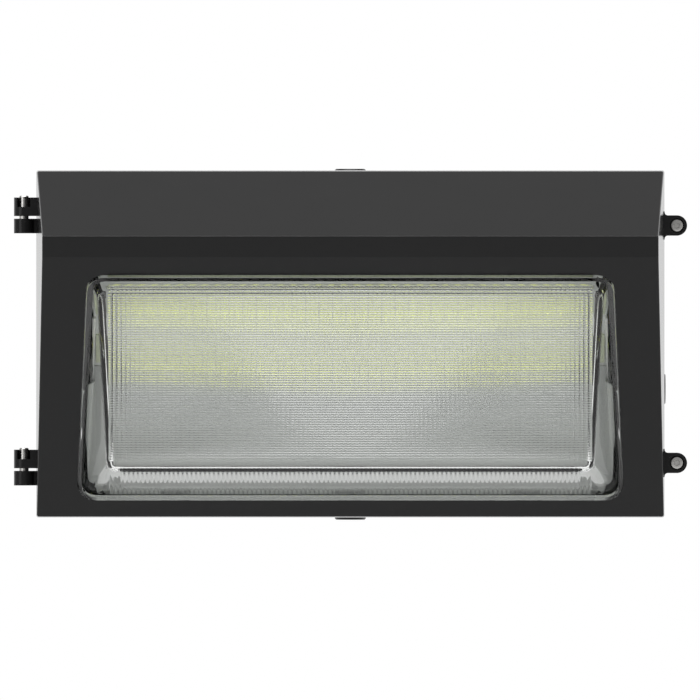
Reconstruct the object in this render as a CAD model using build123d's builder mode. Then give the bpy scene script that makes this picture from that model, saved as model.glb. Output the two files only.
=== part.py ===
from build123d import *
from math import atan2, cos, degrees, hypot, radians, sin, tan
import os

os.makedirs("parts", exist_ok=True)

# Wall pack light. Millimetres, +Z up, +X to the right of somebody who faces the light.
# The origin is the centre of the back face, on the wall. The light stands out from the wall
# towards -Y, and every "depth" below is a distance forward from the wall, so y = -depth.

# ------------------------------------------------------------------ driving dimensions
# Body
body_width = 430.0
body_height = 237.6
box_depth = 65.0
box_draft = 3.0
box_wall = 5.0
back_wall = 5.0
back_recess = 1.5
back_rim = 10.0
corner_radius = 3.0
back_edge_chamfer = 1.5

# Door, a hood that carries the lens
parting_gap = 0.6
hood_depth = 124.4
hood_draft = 2.47
hood_wall = 3.2
hood_edge_radius = 1.5
skirt_depth = 16.0
skirt_drop = 0.7
fold_height = 73.2
fascia_height = 14.4
fascia_lean = 1.0
chin_depth = 12.0
chin_rise = 0.6

# Lens opening and lens
opening_top = 46.8
opening_bottom = -107.3
opening_top_width = 359.2
opening_bottom_width = 374.4
opening_corner = 13.0
lens_clearance = 1.0
lens_wall = 4.0
lens_flange_width = 7.0
lens_flange_width_bottom = 4.5
lens_gasket_thickness = 1.5
lens_draft = 15.0
lens_corner = 12.0
panel_top = 44.0
panel_bottom = -87.0
panel_top_stand = 8.0
panel_bottom_stand = 52.0
panel_edge_radius = 4.0
flute_zone_width = 336.0
flute_pitch = 3.05
flute_height = 0.6
flute_top = 41.0
flute_bottom = -81.0
prism_pitch = 1.72
prism_height = 0.7
return_rib_margin = 8.0
ridge_foot = 0.1

# Hinges, on the left side
hinge_reach = 8.5
hinge_setback = 0.3
knuckle_radius = 6.8
hinge_gap = 1.8
hinge_gap_heights = (86.6, -86.0)
door_knuckle_height = 12.7
box_knuckle_height = 10.0
pin_radius = 3.3
pin_stand = 1.2
pin_chamfer = 0.6
knuckle_notch_width = 8.9
knuckle_notch_height = 6.5

# Lugs and captive screws, on the right side
lug_reach = 8.4
lug_radius = 6.95
lug_flare = 2.2
lug_heights = (81.0, -81.4)
door_lug_depth = 14.0
box_lug_depth = 18.0
screw_thread_radius = 2.45
screw_neck_radius = 1.8
screw_neck_hole = 2.1
screw_head_radius = 4.6
screw_head_height = 3.4
screw_head_pocket_radius = 4.9
screw_head_pocket = 4.6
lug_web = 3.0
screw_travel = 8.0
screw_thread_length = 9.0
screw_recess_radius = 1.9
screw_recess_depth = 1.8

# Conduit entries and their closure plugs
conduit_depth = 33.0
conduit_radius = 10.7
conduit_hub_width = 32.0
conduit_hub_length = 15.0
conduit_hub_stand = 1.0
side_entry_height = -30.9
plug_length = 12.0
plug_projections = {"top": 1.2, "bottom": 1.7, "side": 1.0}
plug_socket_radius = 5.5
plug_socket_depth = 6.0
plug_chamfer = 0.8

# Holes in the back wall
wire_entry_radius = 11.1
box_pattern_pitch = 88.9
box_pattern_radius = 2.4
anchor_spacing_x = 360.0
anchor_spacing_z = 120.0
anchor_radius = 4.0
center_pad_width = 120.0
anchor_pad_width = 26.0
wall_gasket_outer = 68.0
wall_gasket_inner = 40.0
wall_gasket_thickness = 2.0

# Rim gasket
rim_groove_width = 2.4
rim_groove_depth = 1.6
rim_gasket_stand = 0.3

# Inner works
post_radius = 5.5
tray_seat = 60.0
tray_sheet = 2.0
tray_half_width = 170.0
tray_setback = 31.4
tray_top = 52.0
tray_bottom = -21.5
tray_foot = 14.0
tray_post_x = 150.0
tray_top_post = 90.0
tray_bottom_post = -74.0
tray_bend = 3.0
reflector_sheet = 1.2
reflector_width = 336.0
reflector_lap = 9.0
reflector_end_depth = 67.0
reflector_end_height = -99.0
reflector_post = -105.0
wing_top_height = 13.0
wing_bottom_height = 4.0
wing_flare = 1.0

board_length = 332.0
board_thickness = 1.6
upper_board_width = 18.0
lower_board_width = 22.0
upper_board_height = 29.6
lower_board_height = -1.9
led_pitch = 8.35
led_columns = 38
led_rows = 2
led_row_pitch = 8.0
led_length = 3.5
led_width = 2.8
led_height = 0.8
board_screw_columns = (-18, 0, 18)
connector_length = 34.0
connector_width = 8.0
connector_height = 5.0
connector_gap_height = 14.3
grommet_hole_radius = 5.0
clip_height = 12.0
clip_width = 4.2
clip_stand = 5.0

driver_length = 186.0
driver_width = 66.0
driver_height = 36.0
driver_x = -20.0
driver_z = -62.0
driver_boss_height = 6.0
driver_boss_radius = 5.0
driver_foot = 11.0
driver_foot_thickness = 2.0
driver_lid_thickness = 1.6
driver_corner = 4.0
driver_lead_z = -48.0
driver_lead_depth = 24.0

lead_radius = 1.3
lead_tail = 22.0
lead_spacing = 3.2
terminal_radius = 4.6
terminal_thickness = 0.8
terminal_barrel = 9.0
wire_nut_radius = 6.0
wire_nut_length = 20.0
wire_nut_taper = 6.0
ground_x = 168.0
ground_z = 28.0
ground_boss_height = 7.0

# Small inner screws, whose shanks and holes have few sides to keep the mesh light
screw_sides = 8
m4_radius = 1.95
m4_head_radius = 4.0
m4_head_height = 2.6
m4_length = 8.0
board_screw_radius = 1.2
board_screw_head_radius = 2.2
board_screw_head_height = 1.5
m3_radius = 1.45
m3_head_radius = 3.1
m3_head_height = 2.0

clip_plate_length = 13.0
clip_plate_width = 12.0
clip_plate_thickness = 1.5
lens_boss_radius = 4.0

# Clearances
seat_clearance = 0.05
running_clearance = 0.06
plug_clearance = 0.07
loose_clearance = 0.3
overlap = 0.5

# ------------------------------------------------------------------ places worked out
hood_rear = box_depth + parting_gap
nose_depth = hood_rear + hood_depth
fascia_bottom = fold_height - fascia_height
fascia_bottom_depth = nose_depth - fascia_lean
chin_height = -body_height / 2 + chin_rise
chin_front_depth = hood_rear + chin_depth

face_tilt = atan2(fascia_bottom_depth - chin_front_depth, fascia_bottom - chin_height)


def face_depth(height):
    """Depth of the door's outer front face at a height."""
    return fascia_bottom_depth - (fascia_bottom - height) * tan(face_tilt)


def point(x, depth, height):
    """A point given by its distance in front of the wall."""
    return (x, -depth, height)


def at_depth(depth):
    """Plane parallel to the wall whose normal points forward."""
    return Plane.XZ.offset(depth)


def half_width_at(depth):
    """Half width of the drafted back box."""
    return body_width / 2 - (box_depth - depth) * tan(radians(box_draft))


def half_height_at(depth):
    """Half height of the drafted back box."""
    return body_height / 2 - (box_depth - depth) * tan(radians(box_draft))


# The sloping front face: local x is +X, local y runs up the slope, the normal points outward.
face_plane = Plane(
    origin=point(0, face_depth(0), 0),
    x_dir=(1, 0, 0),
    z_dir=(0, -cos(face_tilt), -sin(face_tilt)),
)


def up_slope(height, inset=0.0):
    """Local y on the plane that lies inset behind the front face, for a height above the origin."""
    return (height - inset * sin(face_tilt)) / cos(face_tilt)


# The lens front panel stands nearer to vertical than the door's face.
panel_top_depth = face_depth(panel_top) + panel_top_stand
panel_bottom_depth = face_depth(panel_bottom) + panel_bottom_stand
panel_tilt = atan2(panel_top_depth - panel_bottom_depth, panel_top - panel_bottom)
panel_length = hypot(panel_top_depth - panel_bottom_depth, panel_top - panel_bottom)
panel_up = (0, -sin(panel_tilt), cos(panel_tilt))
panel_plane = Plane(
    origin=point(0, panel_top_depth, panel_top),
    x_dir=(1, 0, 0),
    z_dir=(0, -cos(panel_tilt), -sin(panel_tilt)),
)

hinge_x = -body_width / 2 - hinge_reach
hinge_depth = box_depth + hinge_setback
lug_x = body_width / 2 + lug_reach

tray_plane = face_plane.offset(-tray_setback)


# ------------------------------------------------------------------ shared shapes
def trapezoid(top_width, bottom_width, top, bottom, corner):
    """Trapezoid between two heights of its own plane, with round corners where corner isn't 0."""
    with BuildSketch() as outline:
        with BuildLine():
            Polyline(
                (-top_width / 2, top),
                (top_width / 2, top),
                (bottom_width / 2, bottom),
                (-bottom_width / 2, bottom),
                close=True,
            )
        make_face()
        if corner:
            fillet(outline.vertices(), corner)
    return outline.sketch


def lens_opening(grow, grow_bottom, corner):
    """Outline of the lens opening on the front face, grown outward."""
    return trapezoid(
        opening_top_width + 2 * grow,
        opening_bottom_width + 2 * grow,
        up_slope(opening_top) + grow,
        up_slope(opening_bottom) - grow_bottom,
        corner,
    )


def screw_hole(radius):
    """Outline of the hole that a small screw of this radius goes into."""
    return RegularPolygon(radius + seat_clearance, screw_sides)


def small_screw(head_radius, head_height, shank_radius, length):
    """Hexagon-head screw that points down, with the underside of its head at its origin."""
    with BuildPart() as screw:
        with BuildSketch():
            RegularPolygon(head_radius, 6)
        extrude(amount=head_height)
        with BuildSketch(Plane.XY):
            RegularPolygon(shank_radius, screw_sides)
        extrude(amount=-length)
    return screw.part


def lead_tube(name, points, radius):
    """Lead of six sides along straight runs, joined by arcs as large as the runs allow."""
    radii = []
    for before, corner, after in zip(points, points[1:], points[2:]):
        run_in = Vector(*corner) - Vector(*before)
        run_out = Vector(*after) - Vector(*corner)
        half_turn = radians(run_in.get_angle(run_out)) / 2
        radii.append(0.45 * min(run_in.length, run_out.length) / tan(half_turn))
    print(name, "bend radii", [round(bend, 1) for bend in radii])
    with BuildPart() as tube:
        with BuildLine() as route:
            FilletPolyline(*points, radius=radii)
        with BuildSketch(Plane(origin=route.line @ 0, z_dir=route.line % 0)):
            RegularPolygon(radius, 6)
        sweep()
    return tube.part


def save(part, name):
    """Label a finished piece and write its STEP file."""
    part.label = name
    export_step(part, f"parts/{name}.step")


# ------------------------------------------------------------------ back housing
conduit_entries = {
    "top": Plane(
        origin=point(0, conduit_depth, half_height_at(conduit_depth) + conduit_hub_stand),
        x_dir=(1, 0, 0),
        z_dir=(0, 0, 1),
    ),
    "bottom": Plane(
        origin=point(0, conduit_depth, -half_height_at(conduit_depth) - conduit_hub_stand),
        x_dir=(1, 0, 0),
        z_dir=(0, 0, -1),
    ),
    "side": Plane(
        origin=point(
            half_width_at(conduit_depth) + conduit_hub_stand, conduit_depth, side_entry_height
        ),
        x_dir=(0, 1, 0),
        z_dir=(1, 0, 0),
    ),
}

tray_posts = [(x, z) for x in (-tray_post_x, tray_post_x) for z in (tray_top_post, tray_bottom_post)]
reflector_posts = [(x, reflector_post) for x in (-tray_post_x, tray_post_x)]
driver_hole_x = driver_length / 2 + driver_foot / 2
driver_bosses = [
    (driver_x + side * driver_hole_x, driver_z + end * driver_width / 3)
    for side in (-1, 1)
    for end in (-1, 1)
]
driver_seat = back_wall + driver_boss_height
ground_seat = back_wall + ground_boss_height


def knuckle(inward_from, inward_to):
    """Plan of one hinge knuckle, a barrel and the web that ties it to the side wall."""
    with BuildSketch() as plan:
        with Locations((hinge_x, -hinge_depth)):
            Circle(knuckle_radius)
        web_end = -body_width / 2 + box_wall / 2
        with Locations(((hinge_x + web_end) / 2, -(inward_from + inward_to) / 2)):
            Rectangle(web_end - hinge_x, abs(inward_to - inward_from))
    return plan.sketch


def lug(height):
    """Outline of one screw lug, flared where it meets the side wall."""
    root = body_width / 2
    with BuildSketch() as outline:
        with Locations((lug_x, height)):
            Circle(lug_radius)
        with Locations(((root + lug_x) / 2 - 1, height)):
            Rectangle(lug_x - root + 2, 2 * lug_radius)
        with Locations((root - box_wall / 4, height)):
            Rectangle(box_wall / 2, 2 * (lug_radius + lug_flare) + 1)
        notches = [
            corner
            for corner in outline.vertices()
            if abs(corner.X - root) < 0.01 and abs(abs(corner.Y - height) - lug_radius) < 0.01
        ]
        fillet(notches, lug_flare)
    return outline.sketch


box_knuckle_plan = knuckle(box_depth, hinge_depth - knuckle_radius)
door_knuckle_plan = knuckle(hood_rear, hinge_depth + knuckle_radius)
lug_plans = [lug(height) for height in lug_heights]

with BuildPart() as back_housing:
    # Drafted box whose back edge is bevelled
    for depth, bevel in ((0, back_edge_chamfer), (back_edge_chamfer, 0), (box_depth, 0)):
        with BuildSketch(at_depth(depth)):
            RectangleRounded(
                2 * (half_width_at(depth) - bevel), 2 * (half_height_at(depth) - bevel), corner_radius
            )
    loft(ruled=True)
    # Cavity for the driver and the wiring
    with BuildSketch(at_depth(back_wall)):
        Rectangle(
            2 * (half_width_at(back_wall) - box_wall), 2 * (half_height_at(back_wall) - box_wall)
        )
    extrude(amount=box_depth, taper=-box_draft, mode=Mode.SUBTRACT)
    # Shallow relief on the wall side, so the box bears on its rim and pads
    with BuildSketch(at_depth(0)):
        Rectangle(2 * (half_width_at(0) - back_rim), 2 * (half_height_at(0) - back_rim))
        Rectangle(center_pad_width, center_pad_width, mode=Mode.SUBTRACT)
        with GridLocations(anchor_spacing_x, anchor_spacing_z, 2, 2):
            Rectangle(anchor_pad_width, anchor_pad_width, mode=Mode.SUBTRACT)
    extrude(amount=back_recess, mode=Mode.SUBTRACT)
    # Posts and bosses on the back wall
    with BuildSketch(at_depth(back_wall - overlap)):
        with Locations(*tray_posts, *reflector_posts):
            RegularPolygon(post_radius, screw_sides)
    extrude(amount=tray_seat - back_wall + overlap)
    with BuildSketch(at_depth(back_wall - overlap)):
        with Locations(*driver_bosses):
            RegularPolygon(driver_boss_radius, screw_sides)
    extrude(amount=driver_boss_height + overlap)
    with BuildSketch(at_depth(back_wall - overlap)):
        with Locations((ground_x, ground_z)):
            RegularPolygon(driver_boss_radius, screw_sides)
    extrude(amount=ground_boss_height + overlap)
    # Conduit hubs
    for entry in conduit_entries.values():
        with BuildSketch(entry):
            Rectangle(conduit_hub_width, conduit_hub_width)
        extrude(amount=-conduit_hub_length)
        with BuildSketch(entry):
            Circle(conduit_radius)
        extrude(amount=-conduit_hub_length, mode=Mode.SUBTRACT)
    # Hinge knuckles below each gap
    for gap_height in hinge_gap_heights:
        with BuildSketch(Plane.XY.offset(gap_height - hinge_gap / 2)):
            add(box_knuckle_plan)
        extrude(amount=-box_knuckle_height)
    # Lugs with the threaded holes that the captive screws go into
    for plan in lug_plans:
        with BuildSketch(at_depth(box_depth)):
            add(plan)
        extrude(amount=-box_lug_depth)
    with BuildSketch(at_depth(box_depth)):
        with Locations(*[(lug_x, height) for height in lug_heights]):
            Circle(screw_thread_radius + running_clearance)
    extrude(amount=-(box_lug_depth - lug_web), mode=Mode.SUBTRACT)
    # Bores
    with BuildSketch(Plane.XY.offset(-body_height / 2)):
        with Locations((hinge_x, -hinge_depth)):
            Circle(pin_radius + seat_clearance / 2)
    extrude(amount=body_height, mode=Mode.SUBTRACT)
    with BuildSketch(at_depth(0)):
        Circle(wire_entry_radius)
        with GridLocations(box_pattern_pitch, 0, 2, 1):
            Circle(box_pattern_radius)
        with GridLocations(anchor_spacing_x, anchor_spacing_z, 2, 2):
            Circle(anchor_radius)
    extrude(amount=back_wall, mode=Mode.SUBTRACT)
    with BuildSketch(at_depth(tray_seat)):
        with Locations(*tray_posts, *reflector_posts):
            screw_hole(m4_radius)
    extrude(amount=-m4_length, mode=Mode.SUBTRACT)
    with BuildSketch(at_depth(driver_seat)):
        with Locations(*driver_bosses):
            screw_hole(m4_radius)
    extrude(amount=-driver_boss_height, mode=Mode.SUBTRACT)
    with BuildSketch(at_depth(ground_seat)):
        with Locations((ground_x, ground_z)):
            screw_hole(m4_radius)
    extrude(amount=-ground_boss_height, mode=Mode.SUBTRACT)
    # Groove for the wall gasket, and groove for the rim gasket
    with BuildSketch(at_depth(0)):
        Rectangle(wall_gasket_outer, wall_gasket_outer)
        Rectangle(wall_gasket_inner, wall_gasket_inner, mode=Mode.SUBTRACT)
    extrude(amount=wall_gasket_thickness, mode=Mode.SUBTRACT)
    with BuildSketch(at_depth(box_depth)):
        inset = (box_wall - rim_groove_width) / 2
        Rectangle(body_width - 2 * inset, body_height - 2 * inset)
        inset = inset + rim_groove_width
        Rectangle(body_width - 2 * inset, body_height - 2 * inset, mode=Mode.SUBTRACT)
    extrude(amount=-rim_groove_depth, mode=Mode.SUBTRACT)
save(back_housing.part, "back_housing")

# ------------------------------------------------------------------ gaskets of the box
with BuildPart() as rim_gasket:
    with BuildSketch(at_depth(box_depth - rim_groove_depth)):
        inset = (box_wall - rim_groove_width) / 2 + seat_clearance
        Rectangle(body_width - 2 * inset, body_height - 2 * inset)
        inset = inset + rim_groove_width - 2 * seat_clearance
        Rectangle(body_width - 2 * inset, body_height - 2 * inset, mode=Mode.SUBTRACT)
    extrude(amount=rim_groove_depth + rim_gasket_stand)
save(rim_gasket.part, "rim_gasket")

with BuildPart() as wall_gasket:
    with BuildSketch(at_depth(0)):
        outer_side = wall_gasket_outer - 2 * seat_clearance
        Rectangle(outer_side, outer_side)
        inner_side = wall_gasket_inner + 2 * seat_clearance
        Rectangle(inner_side, inner_side, mode=Mode.SUBTRACT)
    extrude(amount=wall_gasket_thickness)
save(wall_gasket.part, "wall_gasket")

# ------------------------------------------------------------------ conduit closure plugs
hub_to_silhouette = body_height / 2 - half_height_at(conduit_depth) - conduit_hub_stand
plug_faces = [
    entry.offset(plug_projections[side] + hub_to_silhouette)
    for side, entry in conduit_entries.items()
]
with BuildPart() as conduit_plugs:
    for plug_face in plug_faces:
        with BuildSketch(plug_face):
            Circle(conduit_radius - plug_clearance)
        extrude(amount=-plug_length)
        chamfer(conduit_plugs.edges(Select.LAST).filter_by(GeomType.CIRCLE), plug_chamfer)
    for plug_face in plug_faces:
        with BuildSketch(plug_face):
            RegularPolygon(plug_socket_radius, 6)
        extrude(amount=-plug_socket_depth, mode=Mode.SUBTRACT)
save(conduit_plugs.part, "conduit_plugs")

# ------------------------------------------------------------------ hinge pins
with BuildPart() as hinge_pins:
    for gap_height in sorted(hinge_gap_heights):
        pin_top = gap_height + hinge_gap / 2 + door_knuckle_height + pin_stand
        pin_bottom = gap_height - hinge_gap / 2 - box_knuckle_height
        with BuildSketch(Plane.XY.offset(pin_bottom)):
            with Locations((hinge_x, -hinge_depth)):
                Circle(pin_radius)
        extrude(amount=pin_top - pin_bottom)
        chamfer(hinge_pins.faces().sort_by(Axis.Z)[-1].edges(), pin_chamfer)
save(hinge_pins.part, "hinge_pins")

# ------------------------------------------------------------------ door frame
hood_profile = [
    (-hood_rear, body_height / 2),
    (-hood_rear - skirt_depth, body_height / 2 - skirt_drop),
    (-nose_depth, fold_height),
    (-fascia_bottom_depth, fascia_bottom),
    (-chin_front_depth, chin_height),
    (-hood_rear, -body_height / 2),
]
mouth = (-box_depth / 2, body_height / 2)
cavity_profile = [mouth, *hood_profile[:-1], (mouth[0], -body_height / 2)]


def hood_plan(inset):
    """Plan of the hood, drafted narrower towards the nose and run on behind its rear rim."""
    rear_half = body_width / 2 - inset
    nose_half = rear_half - hood_depth * tan(radians(hood_draft))
    with BuildSketch() as plan:
        with BuildLine():
            Polyline(
                (-rear_half, mouth[0]),
                (-rear_half, -hood_rear),
                (-nose_half, -nose_depth),
                (nose_half, -nose_depth),
                (rear_half, -hood_rear),
                (rear_half, mouth[0]),
                close=True,
            )
        make_face()
    return plan.sketch


outer_plan = hood_plan(0)
inner_plan = hood_plan(hood_wall)

with BuildPart() as hood_cavity:
    with BuildSketch(Plane.YZ):
        with BuildLine():
            Polyline(*cavity_profile, close=True)
        make_face()
        offset(amount=-hood_wall, kind=Kind.INTERSECTION)
    extrude(amount=body_width / 2, both=True)
    with BuildSketch():
        add(inner_plan)
    extrude(amount=body_height / 2, both=True, mode=Mode.INTERSECT)

# The lens flange, its gasket and what holds it, as distances behind the front face
flange_front = hood_wall + lens_gasket_thickness
flange_back = flange_front + lens_wall
boss_margin = lens_flange_width + lens_boss_radius + 1
boss_top = up_slope(opening_top) + boss_margin
boss_sides = [up_slope(-20), up_slope(-80)]


def opening_half_width(slope_height):
    """Half width of the lens opening at a height along the slope."""
    top = up_slope(opening_top)
    bottom = up_slope(opening_bottom)
    share = (top - slope_height) / (top - bottom)
    return (opening_top_width + share * (opening_bottom_width - opening_top_width)) / 2


clip_places = [Location((x, boss_top, 0), (0, 0, 90)) for x in (-110, 0, 110)]
for slope_height in boss_sides:
    clip_x = opening_half_width(slope_height) + boss_margin
    clip_places.append(Location((clip_x, slope_height, 0), (0, 0, 0)))
    clip_places.append(Location((-clip_x, slope_height, 0), (0, 0, 180)))

opening_outline = lens_opening(0, 0, opening_corner)
flange_outline = lens_opening(
    lens_flange_width, lens_flange_width_bottom, opening_corner + lens_flange_width
)
chin_rib_height = up_slope(opening_bottom) + 1

with BuildPart() as door_frame:
    with BuildSketch(Plane.YZ):
        with BuildLine():
            Polyline(*hood_profile, close=True)
        make_face()
    extrude(amount=body_width / 2, both=True)
    with BuildSketch():
        add(outer_plan)
    extrude(amount=body_height / 2, both=True, mode=Mode.INTERSECT)
    rim_depth = hood_rear + 0.01
    soft_edges = door_frame.edges().filter_by(lambda edge: edge.bounding_box().min.Y < -rim_depth)
    fillet(soft_edges, hood_edge_radius)
    add(hood_cavity.part, mode=Mode.SUBTRACT)
    # Bosses for the lens clips, on the inner side of the front face
    with BuildSketch(face_plane.offset(overlap - hood_wall)):
        with Locations(*clip_places):
            RegularPolygon(lens_boss_radius, screw_sides)
    extrude(amount=-(flange_back - hood_wall + overlap))
    with BuildSketch(face_plane.offset(-flange_back)):
        with Locations(*clip_places):
            screw_hole(m3_radius)
    extrude(amount=lens_wall + lens_gasket_thickness, mode=Mode.SUBTRACT)
    # Ribs at the chin, which trap the lower edge of the lens flange
    rib_foot = up_slope(chin_height + hood_wall / 2, flange_back)
    with BuildSketch(face_plane.offset(-flange_back - loose_clearance)):
        with Locations(*[(x, (rib_foot + chin_rib_height) / 2) for x in (-120, 0, 120)]):
            Rectangle(20, chin_rib_height - rib_foot)
    extrude(amount=-hood_wall)
    # Lens opening
    with BuildSketch(face_plane.offset(hood_wall)):
        add(opening_outline)
    extrude(amount=-3 * hood_wall, mode=Mode.SUBTRACT)
    # Hinge knuckles above each gap, with an open front at the top that shows the pin
    for gap_height in hinge_gap_heights:
        knuckle_bottom = gap_height + hinge_gap / 2
        knuckle_top = knuckle_bottom + door_knuckle_height
        with BuildSketch(Plane.XY.offset(knuckle_bottom)):
            add(door_knuckle_plan)
        extrude(amount=door_knuckle_height)
        with BuildSketch(Plane.XY.offset(knuckle_top)):
            with Locations((hinge_x, -hinge_depth)):
                Circle(knuckle_notch_width / 2)
            with Locations((hinge_x, -hinge_depth - knuckle_radius)):
                Rectangle(knuckle_notch_width, 2 * knuckle_radius)
        extrude(amount=-knuckle_notch_height, mode=Mode.SUBTRACT)
        with BuildSketch(Plane.XY.offset(knuckle_bottom)):
            with Locations((hinge_x, -hinge_depth)):
                Circle(pin_radius + running_clearance)
        extrude(amount=door_knuckle_height, mode=Mode.SUBTRACT)
    # Lugs for the captive screws
    lug_front = hood_rear + door_lug_depth
    for plan in lug_plans:
        with BuildSketch(at_depth(hood_rear)):
            add(plan)
        extrude(amount=door_lug_depth)
    with BuildSketch(at_depth(lug_front)):
        with Locations(*[(lug_x, height) for height in lug_heights]):
            Circle(screw_head_pocket_radius)
    extrude(amount=-screw_head_pocket, mode=Mode.SUBTRACT)
    with BuildSketch(at_depth(hood_rear)):
        with Locations(*[(lug_x, height) for height in lug_heights]):
            Circle(screw_thread_radius + 2 * running_clearance)
    extrude(amount=door_lug_depth - screw_head_pocket - lug_web, mode=Mode.SUBTRACT)
    with BuildSketch(at_depth(hood_rear)):
        with Locations(*[(lug_x, height) for height in lug_heights]):
            Circle(screw_neck_hole)
    extrude(amount=door_lug_depth, mode=Mode.SUBTRACT)
save(door_frame.part, "door_frame")

# ------------------------------------------------------------------ lens, a pressed glass refractor
def saw_line(length, pitch, height):
    """Closed outline of a row of equal ridges that stand above a line through the origin."""
    count = int(length / pitch)
    start = -count * pitch / 2
    points = [(start, -overlap)]
    for ridge in range(count):
        points.append((start + ridge * pitch, ridge_foot))
        points.append((start + (ridge + 0.5) * pitch, height))
    points.append((-start, ridge_foot))
    points.append((-start, -overlap))
    with BuildSketch() as outline:
        with BuildLine():
            Polyline(*points, close=True)
        make_face()
    return outline.sketch


flute_ridges = saw_line(flute_zone_width, flute_pitch, flute_height)
panel_slope = Vector(*panel_up)


def on_panel(height, inset=0.0):
    """Point on the centre line of the lens panel at a height, inset behind its outer face."""
    along = (height - panel_top) / cos(panel_tilt)
    return panel_plane.origin + panel_slope * along - panel_plane.z_dir * inset


flute_plane = Plane(origin=on_panel(flute_bottom), x_dir=(-1, 0, 0), z_dir=panel_up)
flute_length = (flute_top - flute_bottom) / cos(panel_tilt)
prism_middle = (flute_top + flute_bottom) / 2
prism_plane = Plane(origin=on_panel(prism_middle, lens_wall), x_dir=panel_up, z_dir=(-1, 0, 0))
prism_ridges = saw_line(flute_length, prism_pitch, prism_height)

# The walls of the lens: three that rise with a draft from the opening's edges, the front panel,
# and the return panel, which runs from the front panel back to the opening's lower edge.
lens_base_plane = face_plane.offset(-flange_front)
base_top = up_slope(opening_top) - lens_clearance
base_bottom = up_slope(opening_bottom) + lens_clearance
base_corners = [
    (-opening_bottom_width / 2 + lens_clearance, base_bottom, 0),
    (-opening_top_width / 2 + lens_clearance, base_top, 0),
    (opening_top_width / 2 - lens_clearance, base_top, 0),
    (opening_bottom_width / 2 - lens_clearance, base_bottom, 0),
]


def drafted_wall(start, end):
    """Plane of a wall that leans inward as it rises from a line on the lens's base."""
    foot = lens_base_plane.from_local_coords(start)
    along = (lens_base_plane.from_local_coords(end) - foot).normalized()
    outward = lens_base_plane.z_dir.cross(along)
    lean = radians(lens_draft)
    normal = outward * cos(lean) + lens_base_plane.z_dir * sin(lean)
    return Plane(origin=foot, x_dir=along, z_dir=normal)


return_top = panel_plane.from_local_coords((0, -panel_length, 0))
return_bottom = lens_base_plane.from_local_coords((0, base_bottom, 0))
return_run = return_bottom - return_top
return_face = Plane(
    origin=return_bottom, x_dir=(1, 0, 0), z_dir=return_run.cross(Vector(1, 0, 0))
)
return_rib_plane = Plane(
    origin=return_top + return_run.normalized() * return_rib_margin,
    x_dir=(1, 0, 0),
    z_dir=return_run,
)
lens_walls = [
    *[drafted_wall(start, end) for start, end in zip(base_corners, base_corners[1:])],
    panel_plane,
    return_face,
]


def lens_bubble(inset, lip_radius):
    """The wedge that the lens makes in front of its flange, with all its walls moved in."""
    panel = panel_plane.offset(-inset)
    with BuildPart() as bubble:
        with BuildSketch(lens_base_plane):
            Rectangle(2 * opening_bottom_width, 2 * opening_bottom_width)
        extrude(amount=opening_bottom_width)
        for wall in lens_walls:
            split(bisect_by=wall.offset(-inset), keep=Keep.BOTTOM)
        corners = [
            edge
            for edge in bubble.edges()
            if abs((edge % 0.5).X) < 0.9
            and abs(lens_base_plane.to_local_coords(edge @ 0.5).Z) > 1
            and abs(panel.to_local_coords(edge @ 0.5).Z) > 1
        ]
        fillet(corners, lens_corner - inset)
        if lip_radius:
            lip = [
                edge
                for edge in bubble.edges()
                if abs(panel.to_local_coords(edge @ 0.5).Z) < 0.01
            ]
            fillet(lip, lip_radius)
    return bubble.part


lens_outside = lens_bubble(0, panel_edge_radius)
lens_inside = lens_bubble(lens_wall, 0)

with BuildPart() as lens:
    add(lens_outside)
    with BuildSketch(lens_base_plane):
        add(flange_outline)
    extrude(amount=-lens_wall)
    with BuildSketch(lens_base_plane):
        throat = -lens_clearance - lens_wall
        add(lens_opening(throat, throat, lens_corner - lens_wall))
    extrude(amount=-lens_wall, mode=Mode.SUBTRACT)
    add(lens_inside, mode=Mode.SUBTRACT)
    # Upright flutes outside, level prisms inside, and the ribs under the lens
    with BuildSketch(flute_plane):
        add(flute_ridges)
    extrude(amount=flute_length)
    with BuildSketch(prism_plane):
        add(prism_ridges)
    extrude(amount=flute_zone_width / 2, both=True)
    with BuildSketch(return_rib_plane):
        add(flute_ridges)
    extrude(amount=return_run.length - 2 * return_rib_margin)
save(lens.part, "lens")

with BuildPart() as lens_gasket:
    with BuildSketch(face_plane.offset(-hood_wall)):
        add(
            lens_opening(
                lens_flange_width - loose_clearance,
                lens_flange_width_bottom,
                opening_corner + lens_flange_width,
            )
        )
        add(
            lens_opening(loose_clearance, loose_clearance, opening_corner + loose_clearance),
            mode=Mode.SUBTRACT,
        )
    extrude(amount=-lens_gasket_thickness)
save(lens_gasket.part, "lens_gasket")

# ------------------------------------------------------------------ lens clips and their screws
with BuildPart() as lens_clips:
    clip_front = face_plane.offset(-flange_back)
    clip_reach = Location((-(lens_boss_radius + 1) / 2, 0, 0))
    with BuildSketch(clip_front):
        with Locations(*[place * clip_reach for place in clip_places]):
            Rectangle(clip_plate_length, clip_plate_width)
    extrude(amount=-clip_plate_thickness)
    with BuildSketch(clip_front):
        with Locations(*clip_places):
            screw_hole(m3_radius)
    extrude(amount=-clip_plate_thickness, mode=Mode.SUBTRACT)
save(lens_clips.part, "lens_clips")

m3_screw = small_screw(m3_head_radius, m3_head_height, m3_radius, clip_plate_thickness + lens_wall)
with BuildPart() as lens_clip_screws:
    for place in clip_places:
        spot = Plane(
            origin=face_plane.offset(-flange_back - clip_plate_thickness).from_local_coords(
                (place.position.X, place.position.Y, 0)
            ),
            x_dir=(1, 0, 0),
            z_dir=-face_plane.z_dir,
        )
        with Locations(spot):
            add(m3_screw)
save(lens_clip_screws.part, "lens_clip_screws")

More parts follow.
